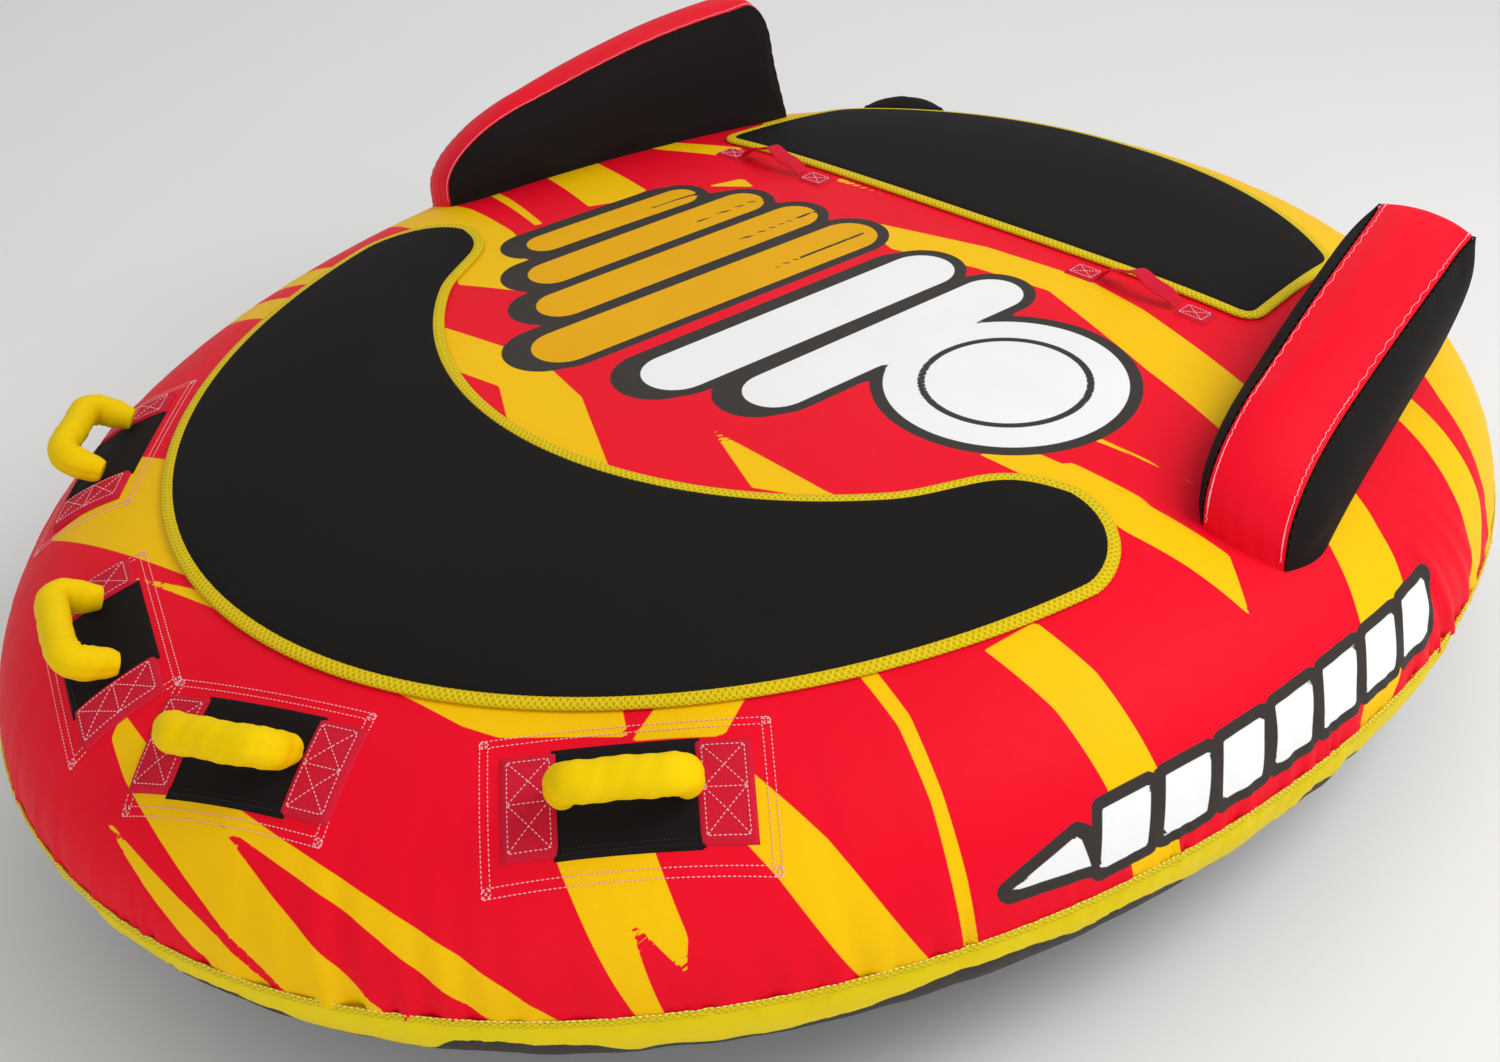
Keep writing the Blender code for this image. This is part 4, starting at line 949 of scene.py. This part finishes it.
class MESH_OT_lower_cover(bpy.types.Operator):
    """Lower cover: a yellow gathered band below the seam and dark cloth under it"""
    bl_idname = "mesh.deck_tube_lower_cover"
    bl_label = "Lower Cover"

    def execute(self, context):
        hull = Hull(sizes())
        cells = 280
        hem = 1 / (cells / 2 - 1)
        rings = np.linspace(0, 1, 2001)
        drops = hull.edge * np.sqrt(1 - np.clip((rings - hull.flat_base) / (1 - hull.flat_base), 0, 1) ** 2)
        arcs = np.concatenate([[0], np.cumsum(np.hypot(hull.mean_radius * np.diff(rings), np.diff(drops)))])
        made = {}

        def shape(u, v):
            turn, share = disc_places(u, v, hem)
            ring = np.interp(np.minimum(share, 1) * arcs[-1], arcs, rings)
            x, y = hull.plan(turn, ring)
            reach = (1 - np.minimum(share, 1)) * arcs[-1]
            gather = ripples(turn, range(140, 400, 19), 8) * np.exp(-reach / 0.030)
            sag = ripples(turn, range(19, 90, 7), 9) * np.exp(-reach / 0.09)
            lift = sizes().pucker_depth * (1.2 * gather + sag)
            lift = np.where(reach > 0.25, 0.0, lift)
            edge = sizes().yellow_band + 0.008 * np.sin(3 * turn + 1.2) + 0.004 * np.sin(11 * turn)
            block = np.clip(np.sin(14 * turn + 1.5 * np.sin(5 * turn)) * 4, -1, 1) * 0.014
            torn = 0.016 * np.abs(((turn * 19 / np.pi + 3 * reach) % 1) - 0.5)
            made["band"] = edge + block + torn - reach
            return tuck_hem(hull.base(x, y, lift)[0], share, hem)

        cover = sheet("lower_cover", cells, cells, shape)
        paint(cover, "band", made["band"])
        cover.data.flip_normals()
        cloth = printed_cloth("lower_cloth", colour("dark"), (("band", colour("band")),), 0.0008)
        finish_piece(smooth(cover, 60), "tube", cloth, ("bottom_cover",))
        return {"FINISHED"}


class MESH_OT_seam_edge(bpy.types.Operator):
    """Seam line: a narrow turned edge round the widest line, with a row of stitches above it"""
    bl_idname = "mesh.deck_tube_seam_edge"
    bl_label = "Seam Edge"

    def execute(self, context):
        hull = Hull(sizes())
        turn = np.linspace(0, 2 * np.pi, 1201)[:-1]
        x, y = hull.plan(turn, np.ones_like(turn))
        _, across, ahead = hull.slope(x, y)
        normals = unit(np.stack([across, ahead, 0 * x], 1))
        wobble = 0.0007 * ripples(turn, DECK_GATHERS, 3)
        path = np.stack([x, y, np.full_like(x, hull.edge)], 1) + normals * (0.0008 + wobble)[:, None]
        half_wide, half_high = 0.0045, 0.0021

        def section(u, around):
            return half_wide * np.cos(around), half_high * np.sin(around)

        edge = tape("seam_edge", path, normals, 8, section)
        finish_piece(smooth(edge, 80), "tube", braided_tape("seam_tape", colour("band"), path_length(path)),
                     ("seam_binding",))
        line = path + normals * 0.0016 + np.array([0, 0, 0.0055])
        thread = stitches("seam_stitching", [(joined_up(line), joined_up(normals))], 0.0055, 0.0008)
        finish_piece(thread, "tube", thread_finish("band_thread", srgb("F2E48A")))
        return {"FINISHED"}


class MESH_OT_deck_pads(bpy.types.Operator):
    """Deck pads: two neoprene pads with braided binding sewn over their edges"""
    bl_idname = "mesh.deck_tube_deck_pads"
    bl_label = "Deck Pads"

    def execute(self, context):
        hull = Hull(sizes())
        material = neoprene_cloth("pad_neoprene", colour("neoprene"))
        for name, halves in (("front_pad", front_pad_halves(hull)), ("rear_pad", rear_pad_halves(hull))):
            columns, rows = 300, 44
            outer, inner = (resample(half, columns + 1) for half in halves)
            outline = np.concatenate([outer, inner[-2:0:-1]])
            thick = sizes().pad_thickness

            def shape(u, v):
                spot = nearest_row(u, columns)
                flat = outer[spot] * (1 - v)[:, None] + inner[spot] * v[:, None]
                inside = edge_distance(flat[:, 0], flat[:, 1], outline[::3])
                rise = np.sqrt(1 - (1 - np.clip(inside / 0.012, 0, 1)) ** 2)
                return hull.top(flat[:, 0], flat[:, 1], thick * rise + 0.0004)[0]

            pad = close_up(sheet(f"{name}_cushion", columns, rows, shape), 1e-7)
            if np.mean([polygon.normal.z for polygon in pad.data.polygons]) < 0:
                pad.data.flip_normals()
            finish_piece(smooth(pad, 60), "tube", material, (name,))
            run = resample(outline, 760, closed=True)
            path, normals = hull.top(run[:, 0], run[:, 1], 0.0028)
            wide, high = sizes().tape_width / 2, sizes().tape_thickness / 2

            def section(u, around):
                return wide * squared(np.cos(around), 0.8), high * squared(np.sin(around), 0.8)

            binding = tape(f"{name}_braid", path, normals, 12, section)
            braid = braided_tape(f"{name}_tape", colour("tape"), path_length(path))
            finish_piece(smooth(binding, 80), "tube", braid, (f"{name}_binding",))
        return {"FINISHED"}


class WingShape:
    """A side wing's outline and its place on the deck."""
    inner_ring, outer_drop, rise, sink = 0.768, 0.022, 0.11, 0.022
    front_corner, rear_corner = (0.135, 0.085), (0.034, 0.040)
    overhang, draw_in, flare, bow = 0.010, 0.001, 0.004, 0.008
    lifts = {1: -0.012, -1: 0.014}      # the right wing sits a little lower and the left one higher

    def __init__(self, hull, side):
        self.side = side
        deck = hull.edge + hull.crown
        lift = self.lifts[side]
        # along the body, top above the deck, thickness, outward lean; at the front and at the rear
        ends = ((0.040, 0.063 + lift / 4, 0.080, 0.0), (0.512, 0.120 + lift, 0.099, 0.045))
        feet = []
        for along, *_ in ends:
            reach, fullness = (float(v) for v in hull.side(np.array(along - hull.middle)))
            ahead = abs(along - hull.middle) / (self.inner_ring * reach)
            across = hull.half_width * self.inner_ring * (1 - ahead ** fullness) ** (1 / fullness)
            feet.append(np.array([across, along]))
        ahead = unit(feet[1] - feet[0])
        out = np.array([ahead[1], -ahead[0]])
        self.out = np.array([out[0] * side, out[1], 0.0])
        self.faces = []
        for shift, drop in ((0.0, 0.0), (1.0, self.outer_drop)):
            face = []
            for foot, (_, top, thick, lean) in zip(feet, ends):
                low = foot + out * thick * shift
                high = low + out * lean
                low_z = hull.top(low[:1], low[1:])[0][0, 2]
                face.append((np.array([*low, low_z]), np.array([*high, deck + top - drop])))
            self.faces.append(face)
        self.length = np.linalg.norm(self.faces[0][1][0] - self.faces[0][0][0])

    def place(self, along, up, share):
        """Points at a length, a height and a share of the thickness."""
        u, k = (along / self.length)[:, None], (up / self.rise)[:, None]
        points = []
        for front, rear in self.faces:
            low = front[0] * (1 - u) + rear[0] * u
            high = front[1] * (1 - u) + rear[1] * u
            points.append(low * (1 - k) + high * k)
        spot = points[0] * (1 - share[:, None]) + points[1] * share[:, None]
        return spot * np.array([self.side, 1, 1])

    def outline(self, count):
        """The wing's rim in its own plane, from the front foot over the top to the rear foot."""
        quarter = np.linspace(0, np.pi / 2, 16)
        (front_reach, front_rise), (rear_reach, rear_rise) = self.front_corner, self.rear_corner
        front_turn = front_reach - self.overhang
        rear_turn = self.length - self.draw_in - rear_reach
        points = [(-self.overhang, -self.sink)]
        points += [(front_turn - front_reach * math.cos(a), self.rise - front_rise + front_rise * math.sin(a))
                   for a in quarter]
        points += [(front_turn + (rear_turn - front_turn) * k / 20, self.rise + self.bow * math.sin(math.pi * k / 20))
                   for k in range(1, 20)]
        points += [(rear_turn + rear_reach * math.sin(a), self.rise - rear_rise + rear_rise * math.cos(a))
                   for a in quarter]
        points += [(self.length, 0.0), (self.length + self.flare, -self.sink)]
        return resample(points, count)


BULGE_REACH = 0.060      # distance from a wing's rim at which its faces are at their fullest
INNER_BULGE = -0.75      # the inner face swells less than the outer one, and the other way
GUSSET_CROWN = 0.006
CLOTH_FRAMES = 20
CLOTH_CAP = 0.004        # the farthest that a point may settle in the cloth simulation
FOLD_DEPTH = 0.0022      # folds at a wing's front foot: depth, and waves per metre across and up
FOLD_WAVE, FOLD_SLANT = 185, 40
SEAM_SHARES = (0.045, 0.955)      # where the zigzag seams run across the gusset
ZIGZAG_STEP, ZIGZAG_HALF = 0.0032, 0.0014


def inflate(obj, held, cap, pressure=4.0):
    """Air inside a closed cloth form; the cloth settles by cap at most, and held points stay."""
    before = points_of(obj)
    group = obj.vertex_groups.new(name="held")
    group.add([int(k) for k in np.nonzero(held)[0]], 1.0, "REPLACE")
    cloth = obj.modifiers.new("air", "CLOTH")
    cloth.settings.use_pressure = True
    cloth.settings.uniform_pressure_force = pressure
    cloth.settings.vertex_group_mass = "held"
    cloth.settings.effector_weights.gravity = 0.0
    cloth.settings.tension_stiffness = 40.0
    cloth.settings.bending_stiffness = 2.0
    cloth.settings.quality = 5
    cloth.point_cache.frame_start = 1
    cloth.point_cache.frame_end = CLOTH_FRAMES
    for step in range(1, CLOTH_FRAMES + 1):
        bpy.context.scene.frame_set(step)
    apply_modifier(obj, "air")
    bpy.context.scene.frame_set(1)
    moved = points_of(obj) - before
    edges = np.array([edge.vertices[:] for edge in obj.data.edges])
    count = np.bincount(edges.ravel(), minlength=len(moved))[:, None]
    for _ in range(4):
        total = np.zeros_like(moved)
        np.add.at(total, edges[:, 0], moved[edges[:, 1]])
        np.add.at(total, edges[:, 1], moved[edges[:, 0]])
        moved = np.where(held[:, None], 0.0, 0.4 * moved + 0.6 * total / count)
    far = np.linalg.norm(moved, axis=1, keepdims=True)
    move_points(obj, before + moved * np.minimum(1, cap / np.maximum(far, 1e-9)))


def snapped(obj, points, lift):
    """Points and normals on a finished piece nearest to the given points."""
    tree = BVHTree.FromPolygons([v.co for v in obj.data.vertices], [p.vertices for p in obj.data.polygons])
    found = [tree.find_nearest(Vector(point)) for point in points]
    normals = np.array([hit[1] for hit in found])
    return np.array([hit[0] for hit in found]) + normals * lift, normals


class MESH_OT_side_wings(bpy.types.Operator):
    """Side wings: inflated cushions with neoprene faces, a red gusset and zigzag seams"""
    bl_idname = "mesh.deck_tube_side_wings"
    bl_label = "Side Wings"

    def execute(self, context):
        hull = Hull(sizes())
        black = neoprene_cloth("wing_neoprene", colour("neoprene"))
        red = plain_cloth("wing_cloth", colour("red"))
        thread = thread_finish("wing_thread", colour("thread"))
        swell = sizes().wing_swell
        for label, side in (("right", 1), ("left", -1)):
            wing = WingShape(hull, side)
            columns, rows, across = 120, 20, 16
            rim = wing.outline(columns + 1)
            feet = np.stack([np.linspace(rim[0, 0], rim[-1, 0], columns + 1),
                             np.full(columns + 1, -wing.sink)], 1)
            ahead = unit(np.gradient(rim, axis=0))
            edge_out = np.stack([-ahead[:, 1], ahead[:, 0]], 1)

            def bulged(flat, share, amount):
                """Points of a face, pushed out by air where they are away from its rim."""
                inside = np.min(np.hypot(flat[:, :1] - rim[::2, 0], flat[:, 1:] - rim[::2, 1]), axis=1)
                full = 1 - (1 - np.clip(inside / BULGE_REACH, 0, 1)) ** 2
                return wing.place(flat[:, 0], flat[:, 1], share) + wing.out * (swell * full * amount)[:, None]

            def face(share, amount):
                def shape(u, v):
                    spot = nearest_row(u, columns)
                    flat = feet[spot] * (1 - v)[:, None] + rim[spot] * v[:, None]
                    return bulged(flat, np.full(len(u), share), amount)
                return shape

            def gusset(u, v):
                spot = nearest_row(u, columns)
                flat = rim[spot] + (GUSSET_CROWN * (1 - (2 * v - 1) ** 2))[:, None] * edge_out[spot]
                return wing.place(flat[:, 0], flat[:, 1], v)

            def foot(u, v):
                amount = np.where(v > 0.999, 1.0, np.where(v < 0.001, INNER_BULGE, 0.0))
                return bulged(feet[nearest_row(u, columns)], v, amount)

            parts = [sheet(f"{label}_wing_cushion", columns, rows, face(0.0, INNER_BULGE)),
                     sheet("outer_face", columns, rows, face(1.0, 1.0)),
                     sheet("gusset", columns, across, gusset), sheet("foot", columns, across, foot)]
            for part, cloth in zip(parts, (black, black, red, red)):
                part.data.materials.append(cloth)
            deselect_all()
            for part in parts:
                part.select_set(True)
            bpy.context.view_layer.objects.active = parts[0]
            bpy.ops.object.join()
            cushion = close_up(parts[0])
            places = points_of(cushion)
            held = places[:, 2] < hull.top(places[:, 0], places[:, 1])[0][:, 2] + 0.002
            inflate(cushion, held, CLOTH_CAP)
            smoother = cushion.modifiers.new("smooth", "SUBSURF")
            smoother.levels = smoother.render_levels = 1
            apply_modifier(cushion, "smooth")
            places = points_of(cushion)
            above = np.clip(places[:, 2] - hull.top(places[:, 0], places[:, 1])[0][:, 2], 0, None)
            front = wing.place(np.zeros(1), np.zeros(1), np.array([0.5]))[0]
            close = np.exp(-np.linalg.norm(places[:, :2] - front[:2], axis=1) / 0.030) * np.exp(-above / 0.045)
            folds = np.abs(np.sin(places[:, 0] * FOLD_WAVE + places[:, 2] * FOLD_SLANT))
            places[:, 1] -= folds * FOLD_DEPTH * close
            move_points(cushion, places)
            seams = []
            for share in SEAM_SHARES:
                middle = gusset(np.linspace(0, 1, columns + 1), np.full(columns + 1, share))
                chain, up = snapped(cushion, middle, 0.0005)
                clear = chain[:, 2] > hull.top(chain[:, 0], chain[:, 1])[0][:, 2] + 0.004
                chain, up = chain[clear], up[clear]
                fine = resample(np.concatenate([chain, up], 1), int(path_length(chain) / ZIGZAG_STEP))
                zig = np.where(np.arange(len(fine)) % 2, ZIGZAG_HALF, -ZIGZAG_HALF)[:, None]
                seams.append((fine[:, :3] + wing.out * zig, fine[:, 3:]))
            finish_piece(smooth(cushion, 45), "tube", red,
                         (f"{label}_wing_inner_panel", f"{label}_wing_outer_panel", f"{label}_wing_gusset",
                          f"{label}_wing_bladder"))
            finish_piece(stitches(f"{label}_wing_stitching", seams, 0.0034, 0.0005, 0.95), "tube", thread)
        return {"FINISHED"}


class MESH_OT_grips(bpy.types.Operator):
    """Grips: padded sleeves with creased bends, and the webbing that runs through them"""
    bl_idname = "mesh.deck_tube_grips"
    bl_label = "Grips"

    def execute(self, context):
        hull = Hull(sizes())
        sleeve = plain_cloth("grip_sleeve", colour("grip"), 0.6)
        webbing = ribbed_webbing("grip_web", colour("webbing"))
        span, low, high, bend = 0.052, 0.005, 0.054, 0.020
        quarter = np.linspace(0, np.pi / 2, 16)
        corner = np.stack([-span + bend - bend * np.cos(quarter), high - bend + bend * np.sin(quarter)], 1)
        flat = np.concatenate([[(-span, low)], corner, corner[::-1] * [-1, 1], [(span, low)]])
        flat = resample(flat, 150)
        for number, label in enumerate(HANDLES):
            spot = handle_frame(hull, label)
            lean = grip_lean(label)
            arm = flat[:, 1] - HINGE_HEIGHT
            path = spot.off_skin(flat[:, 0], -arm * math.sin(lean), HINGE_HEIGHT + arm * math.cos(lean))
            side_axis = spot.along * math.cos(lean) + spot.out * math.sin(lean)
            radius = sizes().grip_radius
            random = np.random.default_rng(20 + number)
            phase = random.uniform(0, 6, 4)

            def section(u, turn):
                bends = np.exp(-((np.minimum(u, 1 - u) - 0.24) / 0.09) ** 2)
                inner = np.clip(np.sin(turn), 0, 1)
                crease = np.sin(u * 118 + phase[0] + 0.7 * np.cos(turn)) * 0.0013 * bends * (0.12 + inner)
                lumps = 0.0005 * np.sin(u * 23 + phase[1] + turn) + 0.0003 * np.sin(u * 61 + phase[2] - 2 * turn)
                pinch = 1 - GRIP_PINCH * np.exp(-np.minimum(u, 1 - u) / 0.07)
                size = radius * pinch + crease + lumps
                seam = 0.0009 * np.exp(-((turn - 1.5 * np.pi) / 0.16) ** 2)
                wide, deep = GRIP_SECTION
                return (size + seam) * np.cos(turn) * wide, (size - seam) * np.sin(turn) * deep

            grip = loft(f"{label}_grip_sleeve", path, side_axis, 40, section)
            finish_piece(smooth(grip, 80), f"{label}_handle", sleeve, (f"{label}_grip",))
            finish_node(f"{label}_grip_webbing", webbing)
        return {"FINISHED"}


class MESH_OT_anchors(bpy.types.Operator):
    """Grip anchors: red webbing feet, black knuckle guards and all their box stitching"""
    bl_idname = "mesh.deck_tube_anchors"
    bl_label = "Grip Anchors"

    def execute(self, context):
        hull = Hull(sizes())
        webbing = ribbed_webbing("anchor_web", colour("webbing"))
        guard_cloth = neoprene_cloth("guard_neoprene", colour("neoprene"))
        thread = thread_finish("anchor_thread", colour("thread"))
        spacing, width, length, row_gap = 0.164, 0.050, 0.092, 0.007
        for label in HANDLES:
            spot = handle_frame(hull, label)
            guard = patch(f"{label}_guard", spot, (0, 0), (spacing - width + 0.012, 0.098), 0.0022, hem=0.0012)
            finish_piece(guard, "tube", guard_cloth, (f"{label}_knuckle_guard",))
            runs = []
            for end, sign in (("near", -1), ("far", 1)):
                centre = (sign * spacing / 2, 0)
                foot = patch(f"{label}_{end}_foot", spot, centre, (width, length), 0.0042)
                finish_piece(foot, "tube", webbing, (f"{label}_anchor_{end}",))
                runs += box_and_crosses(spot, centre, (0.036, 0.078), 2, 0.0049)
            reach_a, reach_b = (0.124, 0.067) if label.endswith("outer") else (0.106, 0.063)
            for inset in (0.0, row_gap):
                runs.append(run_on(spot, rectangle((0, 0), reach_a - inset, reach_b - inset), 0.0006))
            for corner in rectangle((0, 0), reach_a - row_gap / 2, reach_b - row_gap / 2)[:4]:
                runs += box_and_crosses(spot, corner, (row_gap, row_gap), 1, 0.0007)
            hem_runs = [run_on(spot, [(-0.056, b), (0.056, b)], 0.0036) for b in (-0.0445, -0.0405)]
            sewn = stitches(f"{label}_stitching", runs, sizes().stitch_pitch)
            finish_piece(sewn, "tube", thread)
            dark_thread = thread_finish(f"{label}_guard_thread", srgb("141010"))
            finish_piece(stitches(f"{label}_guard_stitching", hem_runs, 0.0032), "tube", dark_thread)
        return {"FINISHED"}


class MESH_OT_deck_straps(bpy.types.Operator):
    """Deck straps: webbing loops between sewn tabs ahead of the rear pad"""
    bl_idname = "mesh.deck_tube_deck_straps"
    bl_label = "Deck Straps"

    def execute(self, context):
        hull = Hull(sizes())
        webbing = ribbed_webbing("strap_web", colour("webbing"), 0.0022)
        thread = thread_finish("strap_thread", colour("thread"))
        half_wide, half_thick = 0.0092, 0.0014
        for label in ("right", "left"):
            runs = []
            for end in ("inner", "outer"):
                spot = SkinFrame(hull, *box_middle(f"{label}_strap_{end}_tab"), (1, 0, 0))
                tab = patch(f"{label}_{end}_tab", spot, (0, 0), (0.040, 0.028), 0.0026, cell=0.0025)
                finish_piece(tab, "tube", webbing, (f"{label}_strap_{end}_tab",))
                runs += box_and_crosses(spot, (0, 0), (0.029, 0.020), 1, 0.0034)
            finish_piece(stitches(f"{label}_tab_stitching", runs, 0.0036, 0.0007), "tube", thread)
            low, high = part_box(f"{label}_strap_loop")
            middle = box_middle(f"{label}_strap_loop")[1]
            share = np.linspace(0, 1, 70)
            xs = low[0] + 0.003 + (high[0] - low[0] - 0.006) * share
            ground = hull.top(xs, np.full_like(xs, middle))[0][:, 2]
            rise = 0.0045 + 0.020 * np.sin(np.pi * share) ** 0.9 + 0.002 * np.sin(5 * np.pi * share)
            path = np.stack([xs, middle + 0.003 * np.sin(2 * np.pi * share), ground + rise], 1)

            def section(u, turn):
                a = half_wide * squared(np.cos(turn), 0.35)
                b = half_thick * squared(np.sin(turn), 0.6)
                tilt = 0.35 * np.sin(2 * np.pi * u)
                return a * np.cos(tilt), b + a * np.sin(tilt)

            loop = loft(f"{label}_strap_web", path, (0.0, 1.0, 0.0), 24, section)
            finish_piece(smooth(loop, 60), f"{label}_strap", webbing, (f"{label}_strap_loop",))
        return {"FINISHED"}


class MESH_OT_valve_cover(bpy.types.Operator):
    """Valve cover: a domed neoprene flap over the inflation valve"""
    bl_idname = "mesh.deck_tube_valve_cover"
    bl_label = "Valve Cover"

    def execute(self, context):
        hull = Hull(sizes())
        valve = joint_of("valve_cap_turn")
        hinge = joint_of("valve_cover_lift")
        spot = SkinFrame(hull, valve["pos_m"][0], valve["pos_m"][1], hinge["axis"])
        half_wide, half_long, high = 0.060, 0.0445, 0.0185

        def shape(u, v):
            turn = 2 * np.pi * u
            reach = np.minimum(v * 1.02, 1)
            a, b = half_wide * reach * np.cos(turn), half_long * reach * np.sin(turn)
            crown = high * (1 - reach ** 2.6) + 0.0012
            roll = 0.0016 * np.exp(-((reach - 0.90) / 0.035) ** 2)
            skin, normal = spot.on_skin(a, b)
            lump = 0.0008 * np.sin(3 * turn) * reach * (1 - reach) * 4
            return skin + normal * (crown + roll + lump)[:, None]

        flap = close_up(sheet("valve_cover", 72, 26, shape), 1e-7)
        thick = flap.modifiers.new("thickness", "SOLIDIFY")
        thick.thickness, thick.offset = 0.0016, 1.0
        apply_modifier(flap, "thickness")
        finish_piece(smooth(flap, 60), "valve_cover", neoprene_cloth("flap_neoprene", colour("neoprene")),
                     ("valve_cover_flap",))
        return {"FINISHED"}


class MESH_OT_underside(bpy.types.Operator):
    """Underside gear: the zip's tape and the stitching of the tow webbing"""
    bl_idname = "mesh.deck_tube_underside"
    bl_label = "Underside Gear"

    def execute(self, context):
        hull = Hull(sizes())
        webbing = ribbed_webbing("tow_web", srgb("26221F"), 0.0024)
        spot = SkinFrame(hull, 0.0, box_middle("tow_harness")[1], (1, 0, 0), under=True)
        runs = box_and_crosses(spot, (0, -0.03), (0.036, 0.10), 2, 0.0032)
        finish_piece(stitches("tow_stitching", runs, 0.0045, 0.0007), "tube",
                     thread_finish("tow_thread", srgb("D8D4CC")))
        finish_node("tow_harness", webbing)
        low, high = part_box("zip_tape")
        spot = SkinFrame(hull, 0.0, box_middle("zip_tape")[1], (1, 0, 0), under=True)
        tape_piece = patch("zip_cloth", spot, (0, 0), (high[0] - low[0], 0.032), 0.0016, cell=0.006)
        finish_piece(tape_piece, "tube", ribbed_webbing("zip_web", srgb("1C1A19"), 0.0012),
                     ("zip_tape",))
        teeth = [run_on(spot, [(-0.19, 0.0), (0.19, 0.0)], 0.0022)]
        finish_piece(stitches("zip_teeth", teeth, 0.0024, 0.0016, 0.6), "tube",
                     moulded_plastic("zip_plastic", srgb("2A2A2A")))
        return {"FINISHED"}


class MESH_OT_fittings(bpy.types.Operator):
    """Finishes of the hard fittings and of the air chambers and patches inside the covers"""
    bl_idname = "mesh.deck_tube_fittings"
    bl_label = "Fitting Finishes"

    def execute(self, context):
        finishes = (
            (brushed_metal("fitting_steel"), ("tow_ring", "zip_slider", "left_drain_grommet", "right_drain_grommet")),
            (moulded_plastic("valve_plastic_grain", srgb("1B1B1C")),
             ("valve_body", "valve_cap", "left_wing_valve", "right_wing_valve", "left_wing_valve_plug",
              "right_wing_valve_plug")),
            (moulded_plastic("air_chamber_film", srgb("3C3E42"), 0.3), ("main_bladder",)),
            (ribbed_webbing("backing_web", srgb("1A1817")), [f"{label}_backing_patch" for label in HANDLES]),
        )
        for finish, nodes in finishes:
            for node in nodes:
                finish_node(node, finish)
        return {"FINISHED"}


class SCENE_OT_deck_tube_stage(bpy.types.Operator):
    """Stage: a pale floor, soft studio light and the camera"""
    bl_idname = "scene.deck_tube_stage"
    bl_label = "Stage"

    def execute(self, context):
        deselect_all()
        bpy.ops.mesh.primitive_plane_add(size=60)
        floor = context.object
        floor.name = "studio_floor"
        shader = Shader("studio_floor", Roughness=0.9, Specular_IOR_Level=0.1)
        dust = shader.noise(shader.place(), 3.0)
        floor.data.materials.append(shader.done(Base_Color=tinted(shader, dust * 0.02 + 0.98, (0.86, 0.86, 0.86))))
        world = bpy.data.worlds.new("studio")
        world.use_nodes = True
        sky = world.node_tree.nodes["Background"]
        sky.inputs["Color"].default_value = (1.0, 1.0, 1.0, 1.0)
        sky.inputs["Strength"].default_value = 0.60
        context.scene.world = world
        context.scene.view_settings.view_transform = "Standard"
        target = Vector((0.284, -0.281, 0.421))
        for name, place, size, power in (("key", (2.0, 0.9, 2.6), 1.6, 52), ("fill", (2.2, -2.6, 1.0), 2.0, 16),
                                         ("back", (-2.0, 2.2, 2.6), 2.0, 10)):
            data = bpy.data.lights.new(name, "AREA")
            data.size = size
            data.energy = power
            light = bpy.data.objects.new(name, data)
            light.location = place
            light.rotation_euler = (Vector(place) - Vector((0, 0, 0.3))).to_track_quat("Z", "Y").to_euler()
            context.collection.objects.link(light)
        azimuth, elevation, roll, distance = math.radians(46.96), math.radians(34.25), math.radians(-4.0), 1.816
        back = Vector((math.sin(azimuth) * math.cos(elevation), -math.cos(azimuth) * math.cos(elevation),
                       math.sin(elevation)))
        right = Vector((math.cos(azimuth), math.sin(azimuth), 0))
        up = back.cross(right)
        right, up = (right * math.cos(roll) + up * math.sin(roll), up * math.cos(roll) - right * math.sin(roll))
        data = bpy.data.cameras.new("camera")
        data.sensor_width, data.lens = 36.0, 46.4
        camera = bpy.data.objects.new("camera", data)
        turned = Matrix((right, up, back)).transposed().to_4x4()
        camera.matrix_world = Matrix.Translation(target + back * distance) @ turned
        context.collection.objects.link(camera)
        context.scene.camera = camera
        return {"FINISHED"}


PIECES = (MESH_OT_deck_cover, MESH_OT_lower_cover, MESH_OT_seam_edge, MESH_OT_deck_pads, MESH_OT_side_wings,
          MESH_OT_grips, MESH_OT_anchors, MESH_OT_deck_straps, MESH_OT_valve_cover, MESH_OT_underside,
          MESH_OT_fittings, SCENE_OT_deck_tube_stage)


class VIEW3D_PT_deck_tube(bpy.types.Panel):
    bl_label = "Deck Tube"
    bl_space_type = "VIEW_3D"
    bl_region_type = "UI"
    bl_category = "Deck Tube"

    def draw(self, context):
        for piece in PIECES:
            self.layout.operator(piece.bl_idname)


CLASSES = (DeckTubeSizes, DeckTubeColours, *PIECES, VIEW3D_PT_deck_tube)


def register():
    for cls in CLASSES:
        bpy.utils.register_class(cls)
    bpy.types.Scene.deck_tube_sizes = bpy.props.PointerProperty(type=DeckTubeSizes)
    bpy.types.Scene.deck_tube_colours = bpy.props.PointerProperty(type=DeckTubeColours)


def unregister():
    del bpy.types.Scene.deck_tube_colours
    del bpy.types.Scene.deck_tube_sizes
    for cls in reversed(CLASSES):
        bpy.utils.unregister_class(cls)


def main():
    register()
    for piece in PIECES:
        group, name = piece.bl_idname.split(".")
        getattr(getattr(bpy.ops, group), name)()
    deselect_all()


if __name__ == "__main__":
    main()
